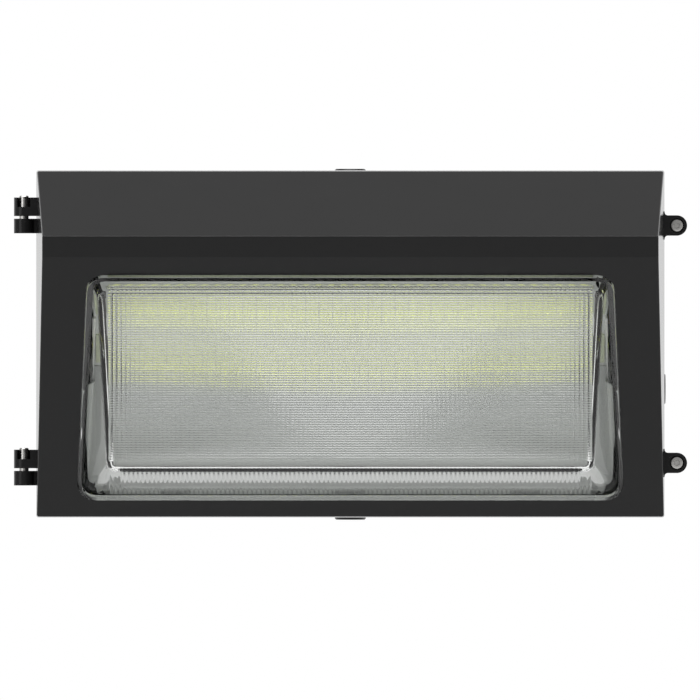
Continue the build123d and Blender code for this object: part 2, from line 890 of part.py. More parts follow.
# ------------------------------------------------------------------ captive screws of the door
for place_name, height in zip(("upper", "lower"), lug_heights):
    head_seat = lug_front - screw_head_pocket
    neck_length = lug_web + screw_travel + loose_clearance
    with BuildPart() as captive_screw:
        with BuildSketch(at_depth(head_seat)):
            with Locations((lug_x, height)):
                Circle(screw_head_radius)
        extrude(amount=screw_head_height)
        with BuildSketch(at_depth(head_seat + screw_head_height)):
            with Locations((lug_x, height)):
                RegularPolygon(screw_recess_radius, 6)
        extrude(amount=-screw_recess_depth, mode=Mode.SUBTRACT)
        with BuildSketch(at_depth(head_seat)):
            with Locations((lug_x, height)):
                Circle(screw_neck_radius)
        extrude(amount=-neck_length - overlap)
        with BuildSketch(at_depth(head_seat - neck_length)):
            with Locations((lug_x, height)):
                Circle(screw_thread_radius)
        extrude(amount=-screw_thread_length)
    save(captive_screw.part, f"captive_screw_{place_name}")

# ------------------------------------------------------------------ tray that carries the LED boards
tray_slope_top = up_slope(tray_top, tray_setback)
tray_slope_bottom = up_slope(tray_bottom, tray_setback)
tray_top_front = tray_plane.from_local_coords((0, tray_slope_top, 0))
tray_bottom_front = tray_plane.from_local_coords((0, tray_slope_bottom, 0))


def sheet_section(points, thickness, bend):
    """Section of a bent sheet in the YZ plane; the points run along its outer side, downward."""
    with BuildSketch() as section:
        with BuildLine():
            FilletPolyline(*points, radius=bend)
            offset(amount=thickness, side=Side.LEFT)
        make_face()
    return section.sketch


tray_section = sheet_section(
    [
        (-tray_seat - tray_sheet, tray_top_post + tray_foot / 2),
        (-tray_seat - tray_sheet, tray_top_post - tray_foot / 2),
        (tray_top_front.Y, tray_top_front.Z),
        (tray_bottom_front.Y, tray_bottom_front.Z),
        (-tray_seat - tray_sheet, tray_bottom_post + tray_foot / 2),
        (-tray_seat - tray_sheet, tray_bottom_post - tray_foot / 2),
    ],
    tray_sheet,
    tray_bend,
)
connector_slope = up_slope(connector_gap_height, tray_setback)
boards = {
    "upper": (up_slope(upper_board_height, tray_setback), upper_board_width),
    "lower": (up_slope(lower_board_height, tray_setback), lower_board_width),
}
board_screw_places = [
    (column * led_pitch, slope_height)
    for column in board_screw_columns
    for slope_height, _ in boards.values()
]

with BuildPart() as led_tray:
    with BuildSketch(Plane.YZ):
        add(tray_section)
    extrude(amount=tray_half_width, both=True)
    with BuildSketch(at_depth(tray_seat - tray_sheet)):
        with Locations(*tray_posts):
            screw_hole(m4_radius)
    extrude(amount=3 * tray_sheet, mode=Mode.SUBTRACT)
    with BuildSketch(tray_plane.offset(tray_sheet)):
        with Locations((0, connector_slope)):
            Circle(grommet_hole_radius)
        with Locations(*board_screw_places):
            screw_hole(board_screw_radius)
    extrude(amount=-3 * tray_sheet, mode=Mode.SUBTRACT)
save(led_tray.part, "led_tray")

# ------------------------------------------------------------------ reflector below the boards
lap_plane = tray_plane.offset(reflector_sheet)
lap_top = lap_plane.from_local_coords((0, tray_slope_bottom + reflector_lap, 0))
lap_bottom = lap_plane.from_local_coords((0, tray_slope_bottom - 1, 0))
apron_end = Vector(*point(0, reflector_end_depth, reflector_end_height))
reflector_foot_depth = tray_seat + reflector_sheet
reflector_section = sheet_section(
    [
        (lap_top.Y, lap_top.Z),
        (lap_bottom.Y, lap_bottom.Z),
        (apron_end.Y, apron_end.Z),
        (-reflector_foot_depth, apron_end.Z - 1),
        (-reflector_foot_depth, reflector_post - post_radius),
    ],
    reflector_sheet,
    1.0,
)
apron_run = apron_end - lap_bottom
apron_top_plane = Plane(
    origin=lap_bottom + apron_run.normalized() * 2, x_dir=(1, 0, 0), z_dir=apron_run
)
apron_low_plane = Plane(
    origin=apron_end - apron_run.normalized() * 2, x_dir=(1, 0, 0), z_dir=apron_run
)


def wing_section(height):
    """Section of the flared wing on the right end of the apron."""
    with BuildSketch() as section:
        with BuildLine():
            Polyline(
                (reflector_width / 2 - reflector_sheet, -reflector_sheet / 2),
                (reflector_width / 2 - reflector_sheet, 0),
                (reflector_width / 2 + wing_flare * height, height),
                (reflector_width / 2 + wing_flare * height + reflector_sheet, height),
                (reflector_width / 2 + reflector_sheet / 2, -reflector_sheet / 2),
                close=True,
            )
        make_face()
    return section.sketch


wing_top = wing_section(wing_top_height)
wing_low = wing_section(wing_bottom_height)

with BuildPart() as reflector:
    with BuildSketch(apron_top_plane):
        add(wing_top)
    with BuildSketch(apron_low_plane):
        add(wing_low)
    loft(ruled=True)
    mirror(about=Plane.YZ)
    with BuildSketch(Plane.YZ):
        add(reflector_section)
    extrude(amount=reflector_width / 2, both=True)
    with BuildSketch(at_depth(tray_seat - reflector_sheet)):
        with Locations(*reflector_posts):
            screw_hole(m4_radius)
    extrude(amount=3 * reflector_sheet, mode=Mode.SUBTRACT)
save(reflector.part, "reflector")

# ------------------------------------------------------------------ screws of the tray and reflector
m4_screw = small_screw(m4_head_radius, m4_head_height, m4_radius, m4_length)


def forward_screw(x, depth, height):
    """Place for a screw whose head faces away from the wall."""
    return Plane(origin=point(x, depth, height), x_dir=(1, 0, 0), z_dir=(0, -1, 0))


with BuildPart() as tray_screws:
    with Locations(*[forward_screw(x, tray_seat + tray_sheet, z) for x, z in tray_posts]):
        add(m4_screw)
    with Locations(*[forward_screw(x, reflector_foot_depth, z) for x, z in reflector_posts]):
        add(m4_screw)
save(tray_screws.part, "tray_screws")

# ------------------------------------------------------------------ LED boards
led_start = -(led_columns - 1) * led_pitch / 2
led_places = [
    (led_start + column * led_pitch, (row - (led_rows - 1) / 2) * led_row_pitch)
    for column in range(led_columns)
    for row in range(led_rows)
]
for board_name, (slope_height, width) in boards.items():
    with BuildPart() as led_board:
        with BuildSketch(tray_plane):
            with Locations((0, slope_height)):
                Rectangle(board_length, width)
        extrude(amount=board_thickness)
        with BuildSketch(tray_plane):
            with Locations(*board_screw_places):
                screw_hole(board_screw_radius)
        extrude(amount=board_thickness, mode=Mode.SUBTRACT)
    save(led_board.part, f"led_board_{board_name}")
    with BuildPart() as led_chips:
        with BuildSketch(tray_plane.offset(board_thickness)):
            with Locations((0, slope_height)):
                with Locations(*led_places):
                    Rectangle(led_length, led_width)
        extrude(amount=led_height)
    save(led_chips.part, f"led_chips_{board_name}")

board_screw = small_screw(
    board_screw_head_radius, board_screw_head_height, board_screw_radius, board_thickness + tray_sheet
)
with BuildPart() as board_screws:
    board_front = tray_plane.offset(board_thickness)
    for across, slope_height in board_screw_places:
        spot = Plane(
            origin=board_front.from_local_coords((across, slope_height, 0)),
            x_dir=(1, 0, 0),
            z_dir=tray_plane.z_dir,
        )
        with Locations(spot):
            add(board_screw)
save(board_screws.part, "board_screws")

with BuildPart() as board_connector:
    with BuildSketch(tray_plane):
        with Locations((0, connector_slope)):
            Rectangle(connector_length, connector_width)
    extrude(amount=connector_height)
    with BuildSketch(tray_plane.offset(connector_height)):
        with Locations((0, connector_slope)):
            with GridLocations(connector_length / 6, 0, 6, 1):
                Rectangle(connector_length / 12, connector_width / 2)
    extrude(amount=-connector_height / 2, mode=Mode.SUBTRACT)
save(board_connector.part, "board_connector")

with BuildPart() as lead_grommet:
    with BuildSketch(tray_plane):
        with Locations((0, connector_slope)):
            Circle(grommet_hole_radius - seat_clearance)
    extrude(amount=-tray_sheet)
    with BuildSketch(tray_plane.offset(-tray_sheet)):
        with Locations((0, connector_slope)):
            Circle(grommet_hole_radius + 2)
    extrude(amount=-2)
    with BuildSketch(tray_plane):
        with Locations((0, connector_slope)):
            with GridLocations(0, lead_spacing, 1, 2):
                Circle(lead_radius + seat_clearance)
    extrude(amount=-tray_sheet - 2, mode=Mode.SUBTRACT)
save(lead_grommet.part, "lead_grommet")

# White clips that grip the ends of the tray between the boards
with BuildPart() as tray_clips:
    for side in (-1, 1):
        with BuildSketch(tray_plane.offset(-tray_sheet - clip_width / 2)):
            with Locations((side * (tray_half_width - clip_width / 4), connector_slope)):
                Rectangle(clip_width, clip_height / cos(face_tilt))
        extrude(amount=tray_sheet + clip_width / 2 + clip_stand)
    with BuildSketch(tray_plane.offset(seat_clearance)):
        Rectangle(2 * (tray_half_width + seat_clearance), body_height / 2)
    extrude(amount=-tray_sheet - 2 * seat_clearance, mode=Mode.SUBTRACT)
save(tray_clips.part, "tray_clips")

# ------------------------------------------------------------------ driver
driver_floor = driver_seat + driver_foot_thickness
with BuildPart() as driver_case:
    with BuildSketch(at_depth(driver_seat)):
        with Locations((driver_x, driver_z)):
            RectangleRounded(driver_length + 2 * driver_foot, driver_width, driver_corner)
    extrude(amount=driver_foot_thickness)
    with BuildSketch(at_depth(driver_seat)):
        with Locations((driver_x, driver_z)):
            Rectangle(driver_length, driver_width)
    extrude(amount=driver_height - driver_lid_thickness)
    with BuildSketch(at_depth(driver_floor)):
        with Locations((driver_x, driver_z)):
            Rectangle(driver_length - 3, driver_width - 3)
    extrude(amount=driver_height, mode=Mode.SUBTRACT)
    with BuildSketch(at_depth(driver_seat)):
        with Locations(*driver_bosses):
            screw_hole(m4_radius)
    extrude(amount=driver_foot_thickness, mode=Mode.SUBTRACT)
save(driver_case.part, "driver_case")

with BuildPart() as driver_potting:
    with BuildSketch(at_depth(driver_floor)):
        with Locations((driver_x, driver_z)):
            Rectangle(driver_length - 3, driver_width - 3)
    extrude(amount=driver_height - driver_lid_thickness - driver_foot_thickness)
save(driver_potting.part, "driver_potting")

with BuildPart() as driver_lid:
    with BuildSketch(at_depth(driver_seat + driver_height - driver_lid_thickness)):
        with Locations((driver_x, driver_z)):
            Rectangle(driver_length, driver_width)
    extrude(amount=driver_lid_thickness)
save(driver_lid.part, "driver_lid")

driver_screw = small_screw(m4_head_radius, m4_head_height, m4_radius, driver_boss_height)
with BuildPart() as driver_screws:
    with Locations(*[forward_screw(x, driver_floor, z) for x, z in driver_bosses]):
        add(driver_screw)
save(driver_screws.part, "driver_screws")

# ------------------------------------------------------------------ leads
driver_left = driver_x - driver_length / 2
driver_right = driver_x + driver_length / 2
connector_back = tray_plane.from_local_coords((0, connector_slope, 0))
lead_turn = tray_plane.from_local_coords((0, connector_slope, -lead_tail))

# Distances forward from the wall, as (x, depth, height); the two output leads run side by side.
output_route = [
    (driver_left, driver_lead_depth, driver_lead_z),
    (driver_left - 14, driver_lead_depth, driver_lead_z),
    (-134, 30, -30),
    (-126, 42, -7),
    (-104, 56, 12),
    (-76, 72, 24),
    (-46, 87, 31),
    (-20, 98, 31),
    (0, -lead_turn.Y, lead_turn.Z),
    (0, -connector_back.Y, connector_back.Z),
]


def beside(route, at_start, at_end):
    """The route moved aside by a vector that changes evenly between its first and last runs."""
    moved = []
    for step, (x, depth, height) in enumerate(route):
        share = min(max((step - 1) / (len(route) - 3), 0), 1)
        aside = Vector(*at_start) * (1 - share) + Vector(*at_end) * share
        moved.append(point(x + aside.X, depth + aside.Y, height + aside.Z))
    return moved


for lead_name, side in (("output_lead_red", 1), ("output_lead_black", -1)):
    at_start = (0, side * lead_spacing, side * lead_spacing)
    half_gap = side * lead_spacing / 2
    at_end = (0, half_gap * sin(face_tilt), half_gap * cos(face_tilt))
    save(lead_tube(lead_name, beside(output_route, at_start, at_end), lead_radius), lead_name)

nut_depth = back_wall + wire_nut_radius + seat_clearance
nut_places = {"supply_lead_black": (104, 4), "supply_lead_white": (126, 4)}
supply_leads = {
    "supply_lead_black": [
        (driver_right, driver_lead_depth, -38),
        (driver_right + 13, driver_lead_depth, -38),
        (98, 19, -28),
        (104, nut_depth, -12),
        (104, nut_depth, 4),
    ],
    "supply_lead_white": [
        (driver_right, driver_lead_depth, -47),
        (driver_right + 16, driver_lead_depth, -47),
        (111, 19, -34),
        (126, nut_depth, -13),
        (126, nut_depth, 4),
    ],
}
for lead_name, route in supply_leads.items():
    save(lead_tube(lead_name, [point(*stop) for stop in route], lead_radius), lead_name)

with BuildPart() as wire_nuts:
    for x, mouth_height in nut_places.values():
        mouth_plane = Plane(origin=point(x, nut_depth, mouth_height), z_dir=(0, 0, 1))
        with BuildSketch(mouth_plane):
            RegularPolygon(wire_nut_radius, screw_sides)
        extrude(amount=wire_nut_length, taper=wire_nut_taper)
        with BuildSketch(mouth_plane):
            Rectangle(2 * wire_nut_radius + 5, 1.6)
        extrude(amount=wire_nut_length * 0.4)
save(wire_nuts.part, "wire_nuts")

# Earth: a ring terminal under a screw on its own boss
barrel_radius = lead_radius + 0.6
barrel_depth = ground_seat + barrel_radius
barrel_top = ground_z - terminal_radius
barrel_bottom = barrel_top - terminal_barrel
with BuildPart() as ground_terminal:
    with BuildSketch(at_depth(ground_seat)):
        with Locations((ground_x, ground_z)):
            Circle(terminal_radius)
        with Locations((ground_x, (ground_z + barrel_top) / 2 - 1)):
            Rectangle(2 * barrel_radius, terminal_radius + 2)
    extrude(amount=terminal_thickness)
    with BuildSketch(at_depth(ground_seat)):
        with Locations((ground_x, ground_z)):
            screw_hole(m4_radius)
    extrude(amount=terminal_thickness, mode=Mode.SUBTRACT)
    with BuildSketch(Plane.XY.offset(barrel_bottom)):
        with Locations((ground_x, -barrel_depth)):
            RegularPolygon(barrel_radius, screw_sides)
    extrude(amount=terminal_barrel)
save(ground_terminal.part, "ground_terminal")

earth_route = [
    (driver_right, driver_lead_depth, -56),
    (driver_right + 18, driver_lead_depth, -56),
    (118, 22, -50),
    (145, 18, -34),
    (162, 14.5, -12),
    (ground_x, barrel_depth, barrel_bottom - 12),
    (ground_x, barrel_depth, barrel_bottom),
]
save(lead_tube("earth_lead", [point(*stop) for stop in earth_route], lead_radius), "earth_lead")

ground_screw_body = small_screw(m4_head_radius, m4_head_height, m4_radius, ground_boss_height)
with BuildPart() as ground_screw:
    with Locations(forward_screw(ground_x, ground_seat + terminal_thickness, ground_z)):
        add(ground_screw_body)
save(ground_screw.part, "ground_screw")
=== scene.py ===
"""Looks of a hinged outdoor wall pack light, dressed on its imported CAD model."""

import logging
import math
from collections.abc import Callable, Sequence
from dataclasses import dataclass, field, replace
from enum import Enum

import bmesh
import bpy
from mathutils import Matrix, Vector
from mathutils.geometry import intersect_line_plane


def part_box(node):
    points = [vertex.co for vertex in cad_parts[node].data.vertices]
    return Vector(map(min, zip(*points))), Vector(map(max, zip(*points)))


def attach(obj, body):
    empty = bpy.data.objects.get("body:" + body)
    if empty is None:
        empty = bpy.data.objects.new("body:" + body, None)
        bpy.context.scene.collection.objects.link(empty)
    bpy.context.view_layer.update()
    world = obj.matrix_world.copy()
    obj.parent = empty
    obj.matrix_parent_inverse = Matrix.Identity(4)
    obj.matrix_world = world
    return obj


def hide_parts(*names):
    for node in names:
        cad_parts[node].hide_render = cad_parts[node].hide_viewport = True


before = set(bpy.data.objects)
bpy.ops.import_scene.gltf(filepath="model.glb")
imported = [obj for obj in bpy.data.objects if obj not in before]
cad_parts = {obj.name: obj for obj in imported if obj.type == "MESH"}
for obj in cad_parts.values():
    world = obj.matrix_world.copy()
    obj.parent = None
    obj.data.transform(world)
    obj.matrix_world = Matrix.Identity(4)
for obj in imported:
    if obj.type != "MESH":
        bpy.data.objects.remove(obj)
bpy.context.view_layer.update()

MM = 0.001

Colour = tuple[float, float, float]
Ring = list[tuple[float, float, float]]

log = logging.getLogger("wall_pack")


# ---------------------------------------------------------------- shader node groups
class NodeSheet:
    """Helper that adds and wires nodes in a material's or a group's node tree."""

    def __init__(self, tree: bpy.types.NodeTree) -> None:
        """Keep the tree that the nodes go into.

        Args:
            tree: Node tree of a material or of a shader node group.
        """
        self.tree = tree

    def add(self, kind: str, **settings: object) -> bpy.types.Node:
        """Add one node.

        Args:
            kind: Blender's name of the node type.
            **settings: Node properties to set.

        Returns:
            The new node.
        """
        node = self.tree.nodes.new(kind)
        for name, value in settings.items():
            setattr(node, name, value)
        return node

    def link(self, source: bpy.types.NodeSocket, target: bpy.types.NodeSocket) -> None:
        """Wire an output socket to an input socket."""
        self.tree.links.new(source, target)

    def math(self, operation: str, first: object, second: object = None) -> bpy.types.NodeSocket:
        """Add a math node.

        Args:
            operation: Blender's name of the operation.
            first: Socket or number for the first input.
            second: Socket or number for the second input, if it has one.

        Returns:
            The node's output socket.
        """
        node = self.add("ShaderNodeMath", operation=operation)
        for socket, value in zip(node.inputs, (first, second)):
            if isinstance(value, bpy.types.NodeSocket):
                self.link(value, socket)
            elif value is not None:
                socket.default_value = value
        return node.outputs[0]

    def noise(self, scale: float, detail: float, vector: bpy.types.NodeSocket) -> bpy.types.NodeSocket:
        """Add a noise texture and return its value output."""
        node = self.add("ShaderNodeTexNoise")
        node.inputs["Scale"].default_value = scale
        node.inputs["Detail"].default_value = detail
        self.link(vector, node.inputs["Vector"])
        return node.outputs["Fac"]


def object_point(sheet: NodeSheet) -> bpy.types.NodeSocket:
    """Return the socket with the point in the object's own coordinates, in metres."""
    return sheet.add("ShaderNodeTexCoord").outputs["Object"]


def new_group(name: str, inputs: dict[str, float], outputs: Sequence[str]) -> bpy.types.NodeTree:
    """Start a shader node group with named number sockets.

    Args:
        name: Name of the group.
        inputs: Input names with their default values.
        outputs: Output names.

    Returns:
        The group's node tree, with its input and output nodes in place.
    """
    tree = bpy.data.node_groups.new(name, "ShaderNodeTree")
    for socket_name, value in inputs.items():
        socket = tree.interface.new_socket(socket_name, in_out="INPUT", socket_type="NodeSocketFloat")
        socket.default_value = value
    for socket_name in outputs:
        tree.interface.new_socket(socket_name, in_out="OUTPUT", socket_type="NodeSocketFloat")
    tree.nodes.new("NodeGroupInput")
    tree.nodes.new("NodeGroupOutput")
    return tree


class Effects:
    """The shared surface effects, each a node group that is built once."""

    def __init__(self) -> None:
        """Build every group."""
        self.grain = self._grain()
        self.brushing = self._brushing()
        self.dust = self._dust()

    def _grain(self) -> bpy.types.NodeTree:
        """Build the even grain of paint, moulded plastic and rubber.

        Returns:
            Group with Scale and Mottle inputs, and Height and Tone outputs.
        """
        tree = new_group("even_grain", {"Scale": 900.0, "Mottle": 0.1}, ["Height", "Tone"])
        sheet = NodeSheet(tree)
        source, sink = tree.nodes["Group Input"], tree.nodes["Group Output"]
        point = object_point(sheet)
        fine = sheet.add("ShaderNodeTexNoise")
        fine.inputs["Detail"].default_value = 2.0
        sheet.link(point, fine.inputs["Vector"])
        sheet.link(source.outputs["Scale"], fine.inputs["Scale"])
        broad = sheet.noise(14.0, 3.0, point)
        swing = sheet.math("MULTIPLY", sheet.math("SUBTRACT", broad, 0.5), source.outputs["Mottle"])
        sheet.link(fine.outputs["Fac"], sink.inputs["Height"])
        sheet.link(sheet.math("ADD", swing, 1.0), sink.inputs["Tone"])
        return tree

    def _brushing(self) -> bpy.types.NodeTree:
        """Build the fine lengthwise lines of drawn or rolled metal.

        Returns:
            Group with Scale and Stretch inputs, and Height and Streak outputs.
        """
        tree = new_group("drawn_lines", {"Scale": 600.0, "Stretch": 0.04}, ["Height", "Streak"])
        sheet = NodeSheet(tree)
        source, sink = tree.nodes["Group Input"], tree.nodes["Group Output"]
        mapping = sheet.add("ShaderNodeMapping")
        squeeze = sheet.add("ShaderNodeCombineXYZ")
        squeeze.inputs["Y"].default_value = 1.0
        squeeze.inputs["Z"].default_value = 1.0
        sheet.link(source.outputs["Stretch"], squeeze.inputs["X"])
        sheet.link(squeeze.outputs["Vector"], mapping.inputs["Scale"])
        sheet.link(object_point(sheet), mapping.inputs["Vector"])
        lines = sheet.add("ShaderNodeTexNoise")
        lines.inputs["Detail"].default_value = 3.0
        sheet.link(mapping.outputs["Vector"], lines.inputs["Vector"])
        sheet.link(source.outputs["Scale"], lines.inputs["Scale"])
        sheet.link(lines.outputs["Fac"], sink.inputs["Height"])
        sheet.link(sheet.math("ADD", sheet.math("MULTIPLY", lines.outputs["Fac"], 0.3), 0.85),
                   sink.inputs["Streak"])
        return tree

    def _dust(self) -> bpy.types.NodeTree:
        """Build a thin film of dust on what faces up.

        Returns:
            Group with an Amount input and a Mask output.
        """
        tree = new_group("settled_dust", {"Amount": 0.05}, ["Mask"])
        sheet = NodeSheet(tree)
        source, sink = tree.nodes["Group Input"], tree.nodes["Group Output"]
        split = sheet.add("ShaderNodeSeparateXYZ")
        sheet.link(sheet.add("ShaderNodeNewGeometry").outputs["Normal"], split.inputs["Vector"])
        upward = sheet.math("MAXIMUM", split.outputs["Z"], 0.0)
        patchy = sheet.noise(35.0, 5.0, object_point(sheet))
        film = sheet.math("MULTIPLY", sheet.math("MULTIPLY", upward, patchy), source.outputs["Amount"])
        sheet.link(film, sink.inputs["Mask"])
        return tree

    def place(self, sheet: NodeSheet, group: bpy.types.NodeTree, **values: float) -> bpy.types.Node:
        """Place a group in a material with its own values.

        Args:
            sheet: Sheet of the material.
            group: One of this object's groups.
            **values: Input names, in lower case, with their values.

        Returns:
            The group node.
        """
        node = sheet.add("ShaderNodeGroup", node_tree=group)
        for name, value in values.items():
            node.inputs[name.capitalize()].default_value = value
        return node


# ---------------------------------------------------------------- finishes
class Texture(Enum):
    """Fine texture of a finish."""

    GRAIN = "grain"
    BRUSHED = "brushed"


@dataclass(frozen=True)
class Finish:
    """Opaque finish: a base colour with its gloss and its fine texture.

    Attributes:
        name: Name of the material.
        colour: Linear base colour.
        roughness: Mean roughness.
        metallic: 1 for bare metal, 0 for anything else.
        coat: Weight of a clear gloss coat.
        texture: Kind of fine texture.
        scale: Features per metre of the texture.
        relief: Height of the texture in metres.
        mottle: Share by which the colour and the roughness vary.
        dust: Strength of the dust on what faces up.
        specular: Level of the specular reflection.
        glow: Strength of the painted glow, light that the surface gives off in its own colour though it is
            no lamp.
    """

    name: str
    colour: Colour
    roughness: float = 0.5
    metallic: float = 0.0
    coat: float = 0.0
    texture: Texture = Texture.GRAIN
    scale: float = 900.0
    relief: float = 0.00002
    mottle: float = 0.1
    dust: float = 0.0
    specular: float = 0.5
    glow: float = 0.0

    def build(self, effects: Effects) -> bpy.types.Material:
        """Make the material.

        Args:
            effects: The shared node groups.

        Returns:
            The material.
        """
        material = bpy.data.materials.new(self.name)
        material.use_nodes = True
        sheet = NodeSheet(material.node_tree)
        shader = material.node_tree.nodes["Principled BSDF"]
        shader.inputs["Metallic"].default_value = self.metallic
        shader.inputs["Coat Weight"].default_value = self.coat
        shader.inputs["Coat Roughness"].default_value = 0.05
        shader.inputs["Specular IOR Level"].default_value = self.specular
        if self.texture is Texture.BRUSHED:
            effect = effects.place(sheet, effects.brushing, scale=self.scale)
            tone = effect.outputs["Streak"]
        else:
            effect = effects.place(sheet, effects.grain, scale=self.scale, mottle=self.mottle)
            tone = effect.outputs["Tone"]
        shade = sheet.add("ShaderNodeMix", data_type="RGBA", blend_type="MULTIPLY")
        shade.inputs["Factor"].default_value = 1.0
        shade.inputs["A"].default_value = (*self.colour, 1.0)
        sheet.link(tone, shade.inputs["B"])
        colour = shade.outputs["Result"]
        if self.dust:
            film = effects.place(sheet, effects.dust, amount=self.dust)
            powder = sheet.add("ShaderNodeMix", data_type="RGBA")
            powder.inputs["B"].default_value = (0.35, 0.33, 0.3, 1.0)
            sheet.link(film.outputs["Mask"], powder.inputs["Factor"])
            sheet.link(colour, powder.inputs["A"])
            colour = powder.outputs["Result"]
        sheet.link(colour, shader.inputs["Base Color"])
        sheet.link(sheet.math("MULTIPLY", tone, self.roughness), shader.inputs["Roughness"])
        # Painted glow: the surface gives off light in its own colour, though it is no lamp.
        if self.glow:
            sheet.link(colour, shader.inputs["Emission Color"])
            shader.inputs["Emission Strength"].default_value = self.glow
        bump = sheet.add("ShaderNodeBump")
        bump.inputs["Distance"].default_value = self.relief
        sheet.link(effect.outputs["Height"], bump.inputs["Height"])
        sheet.link(bump.outputs["Normal"], shader.inputs["Normal"])
        return material


@dataclass(frozen=True)
class PressedGlass:
    """Clear pressed glass, which lets straight light through to the inside.

    Attributes:
        name: Name of the material.
        tint: Linear colour of the glass.
        roughness: Roughness of the fire-polished skin.
        ior: Index of refraction.
        ripple: Height of the pressing's ripple in metres.
    """

    name: str
    tint: Colour
    roughness: float
    ior: float
    ripple: float

    def build(self, effects: Effects) -> bpy.types.Material:
        """Make the material.

        Args:
            effects: The shared node groups.

        Returns:
            The material.
        """
        material = bpy.data.materials.new(self.name)
        material.use_nodes = True
        sheet = NodeSheet(material.node_tree)
        shader = material.node_tree.nodes["Principled BSDF"]
        output = material.node_tree.nodes["Material Output"]
        shader.inputs["Base Color"].default_value = (*self.tint, 1.0)
        shader.inputs["Transmission Weight"].default_value = 1.0
        shader.inputs["IOR"].default_value = self.ior
        skin = effects.place(sheet, effects.grain, scale=120.0, mottle=0.2)
        sheet.link(sheet.math("MULTIPLY", skin.outputs["Tone"], self.roughness),
                   shader.inputs["Roughness"])
        bump = sheet.add("ShaderNodeBump")
        bump.inputs["Distance"].default_value = self.ripple
        sheet.link(skin.outputs["Height"], bump.inputs["Height"])
        sheet.link(bump.outputs["Normal"], shader.inputs["Normal"])
        clear = sheet.add("ShaderNodeBsdfTransparent")
        clear.inputs["Color"].default_value = (*self.tint, 1.0)
        path = sheet.add("ShaderNodeLightPath")
        straight = sheet.math("MAXIMUM", path.outputs["Is Shadow Ray"], path.outputs["Is Diffuse Ray"])
        mix = sheet.add("ShaderNodeMixShader")
        sheet.link(straight, mix.inputs["Fac"])
        sheet.link(shader.outputs["BSDF"], mix.inputs[1])
        sheet.link(clear.outputs["BSDF"], mix.inputs[2])
        sheet.link(mix.outputs["Shader"], output.inputs["Surface"])
        return material


@dataclass(frozen=True)
class BoardMask:
    """White solder mask of an LED board, with its wide copper fields just showing.

    Attributes:
        name: Name of the material.
        colour: Linear colour of the mask.
        pitch: Distance from one copper field to the next, in metres.
    """

    name: str
    colour: Colour
    pitch: float

    def build(self, effects: Effects) -> bpy.types.Material:
        """Make the material.

        Args:
            effects: The shared node groups.

        Returns:
            The material.
        """
        material = bpy.data.materials.new(self.name)
        material.use_nodes = True
        sheet = NodeSheet(material.node_tree)
        shader = material.node_tree.nodes["Principled BSDF"]
        shader.inputs["Coat Weight"].default_value = 0.3
        split = sheet.add("ShaderNodeSeparateXYZ")
        sheet.link(object_point(sheet), split.inputs["Vector"])
        across = sheet.math("PINGPONG", split.outputs["X"], self.pitch / 2)
        gap = sheet.math("LESS_THAN", across, self.pitch * 0.04)
        grain = effects.place(sheet, effects.grain, scale=1500.0, mottle=0.04)
        tone = sheet.math("SUBTRACT", grain.outputs["Tone"], sheet.math("MULTIPLY", gap, 0.12))
        shade = sheet.add("ShaderNodeMix", data_type="RGBA", blend_type="MULTIPLY")
        shade.inputs["Factor"].default_value = 1.0
        shade.inputs["A"].default_value = (*self.colour, 1.0)
        sheet.link(tone, shade.inputs["B"])
        sheet.link(shade.outputs["Result"], shader.inputs["Base Color"])
        sheet.link(sheet.math("MULTIPLY", tone, 0.45), shader.inputs["Roughness"])
        bump = sheet.add("ShaderNodeBump")
        bump.inputs["Distance"].default_value = 0.00003
        sheet.link(gap, bump.inputs["Height"])
        sheet.link(bump.outputs["Normal"], shader.inputs["Normal"])
        return material


CASTING_PAINT = Finish(
    "dark_gloss_paint", (0.023, 0.023, 0.0232), roughness=0.14, scale=700.0, relief=0.000003,
    mottle=0.06, dust=0.01, specular=0.15,
)
PLUG_PAINT = Finish("plug_paint", (0.016, 0.016, 0.016), roughness=0.3, dust=0.01, specular=0.25)
RUBBER = Finish("gasket_silicone", (0.02, 0.02, 0.02), roughness=0.75, scale=1600.0)
STAINLESS = Finish(
    "stainless", (0.62, 0.61, 0.59), roughness=0.28, metallic=1.0, texture=Texture.BRUSHED,
    relief=0.000004,
)
WHITE_SHEET = Finish("white_coated_sheet", (0.8, 0.81, 0.79), roughness=0.35, mottle=0.03)
# Painted shade: the reflector is the tray's white-coated sheet, darkened to grey for the dim light it gets
# behind the glass.
SHADED_REFLECTOR_SHEET = Finish("reflector_sheet_painted_shade", (0.56, 0.57, 0.56), roughness=0.4, mottle=0.03)
# Yellow phosphor of the LED chips, with a painted glow: the chips give off light though the LEDs are not
# lit.
PHOSPHOR_PAINTED_GLOW = Finish(
    "led_phosphor", (0.8, 0.84, 0.1), roughness=0.35, coat=0.5, mottle=0.08, glow=1.2,
)
WHITE_PLASTIC = Finish("white_nylon", (0.84, 0.84, 0.82), roughness=0.45, scale=1200.0)
DRIVER_METAL = Finish(
    "driver_aluminium", (0.66, 0.66, 0.65), roughness=0.38, metallic=1.0, texture=Texture.BRUSHED,
    relief=0.00001,
)
POTTING = Finish("potting_resin", (0.03, 0.03, 0.03), roughness=0.55, scale=300.0)
RED_JACKET = Finish("red_insulation", (0.5, 0.03, 0.02), roughness=0.4, scale=2000.0)
BLACK_JACKET = Finish("black_insulation", (0.015, 0.015, 0.015), roughness=0.4, scale=2000.0)
WHITE_JACKET = Finish("white_insulation", (0.75, 0.75, 0.72), roughness=0.4, scale=2000.0)
GREEN_JACKET = Finish("green_insulation", (0.02, 0.22, 0.05), roughness=0.4, scale=2000.0)
NUT_SHELL = Finish("wire_nut_shell", (0.72, 0.16, 0.02), roughness=0.38, scale=1200.0)
BRASS = Finish(
    "terminal_brass", (0.7, 0.5, 0.2), roughness=0.3, metallic=1.0, texture=Texture.BRUSHED,
    relief=0.000004,
)
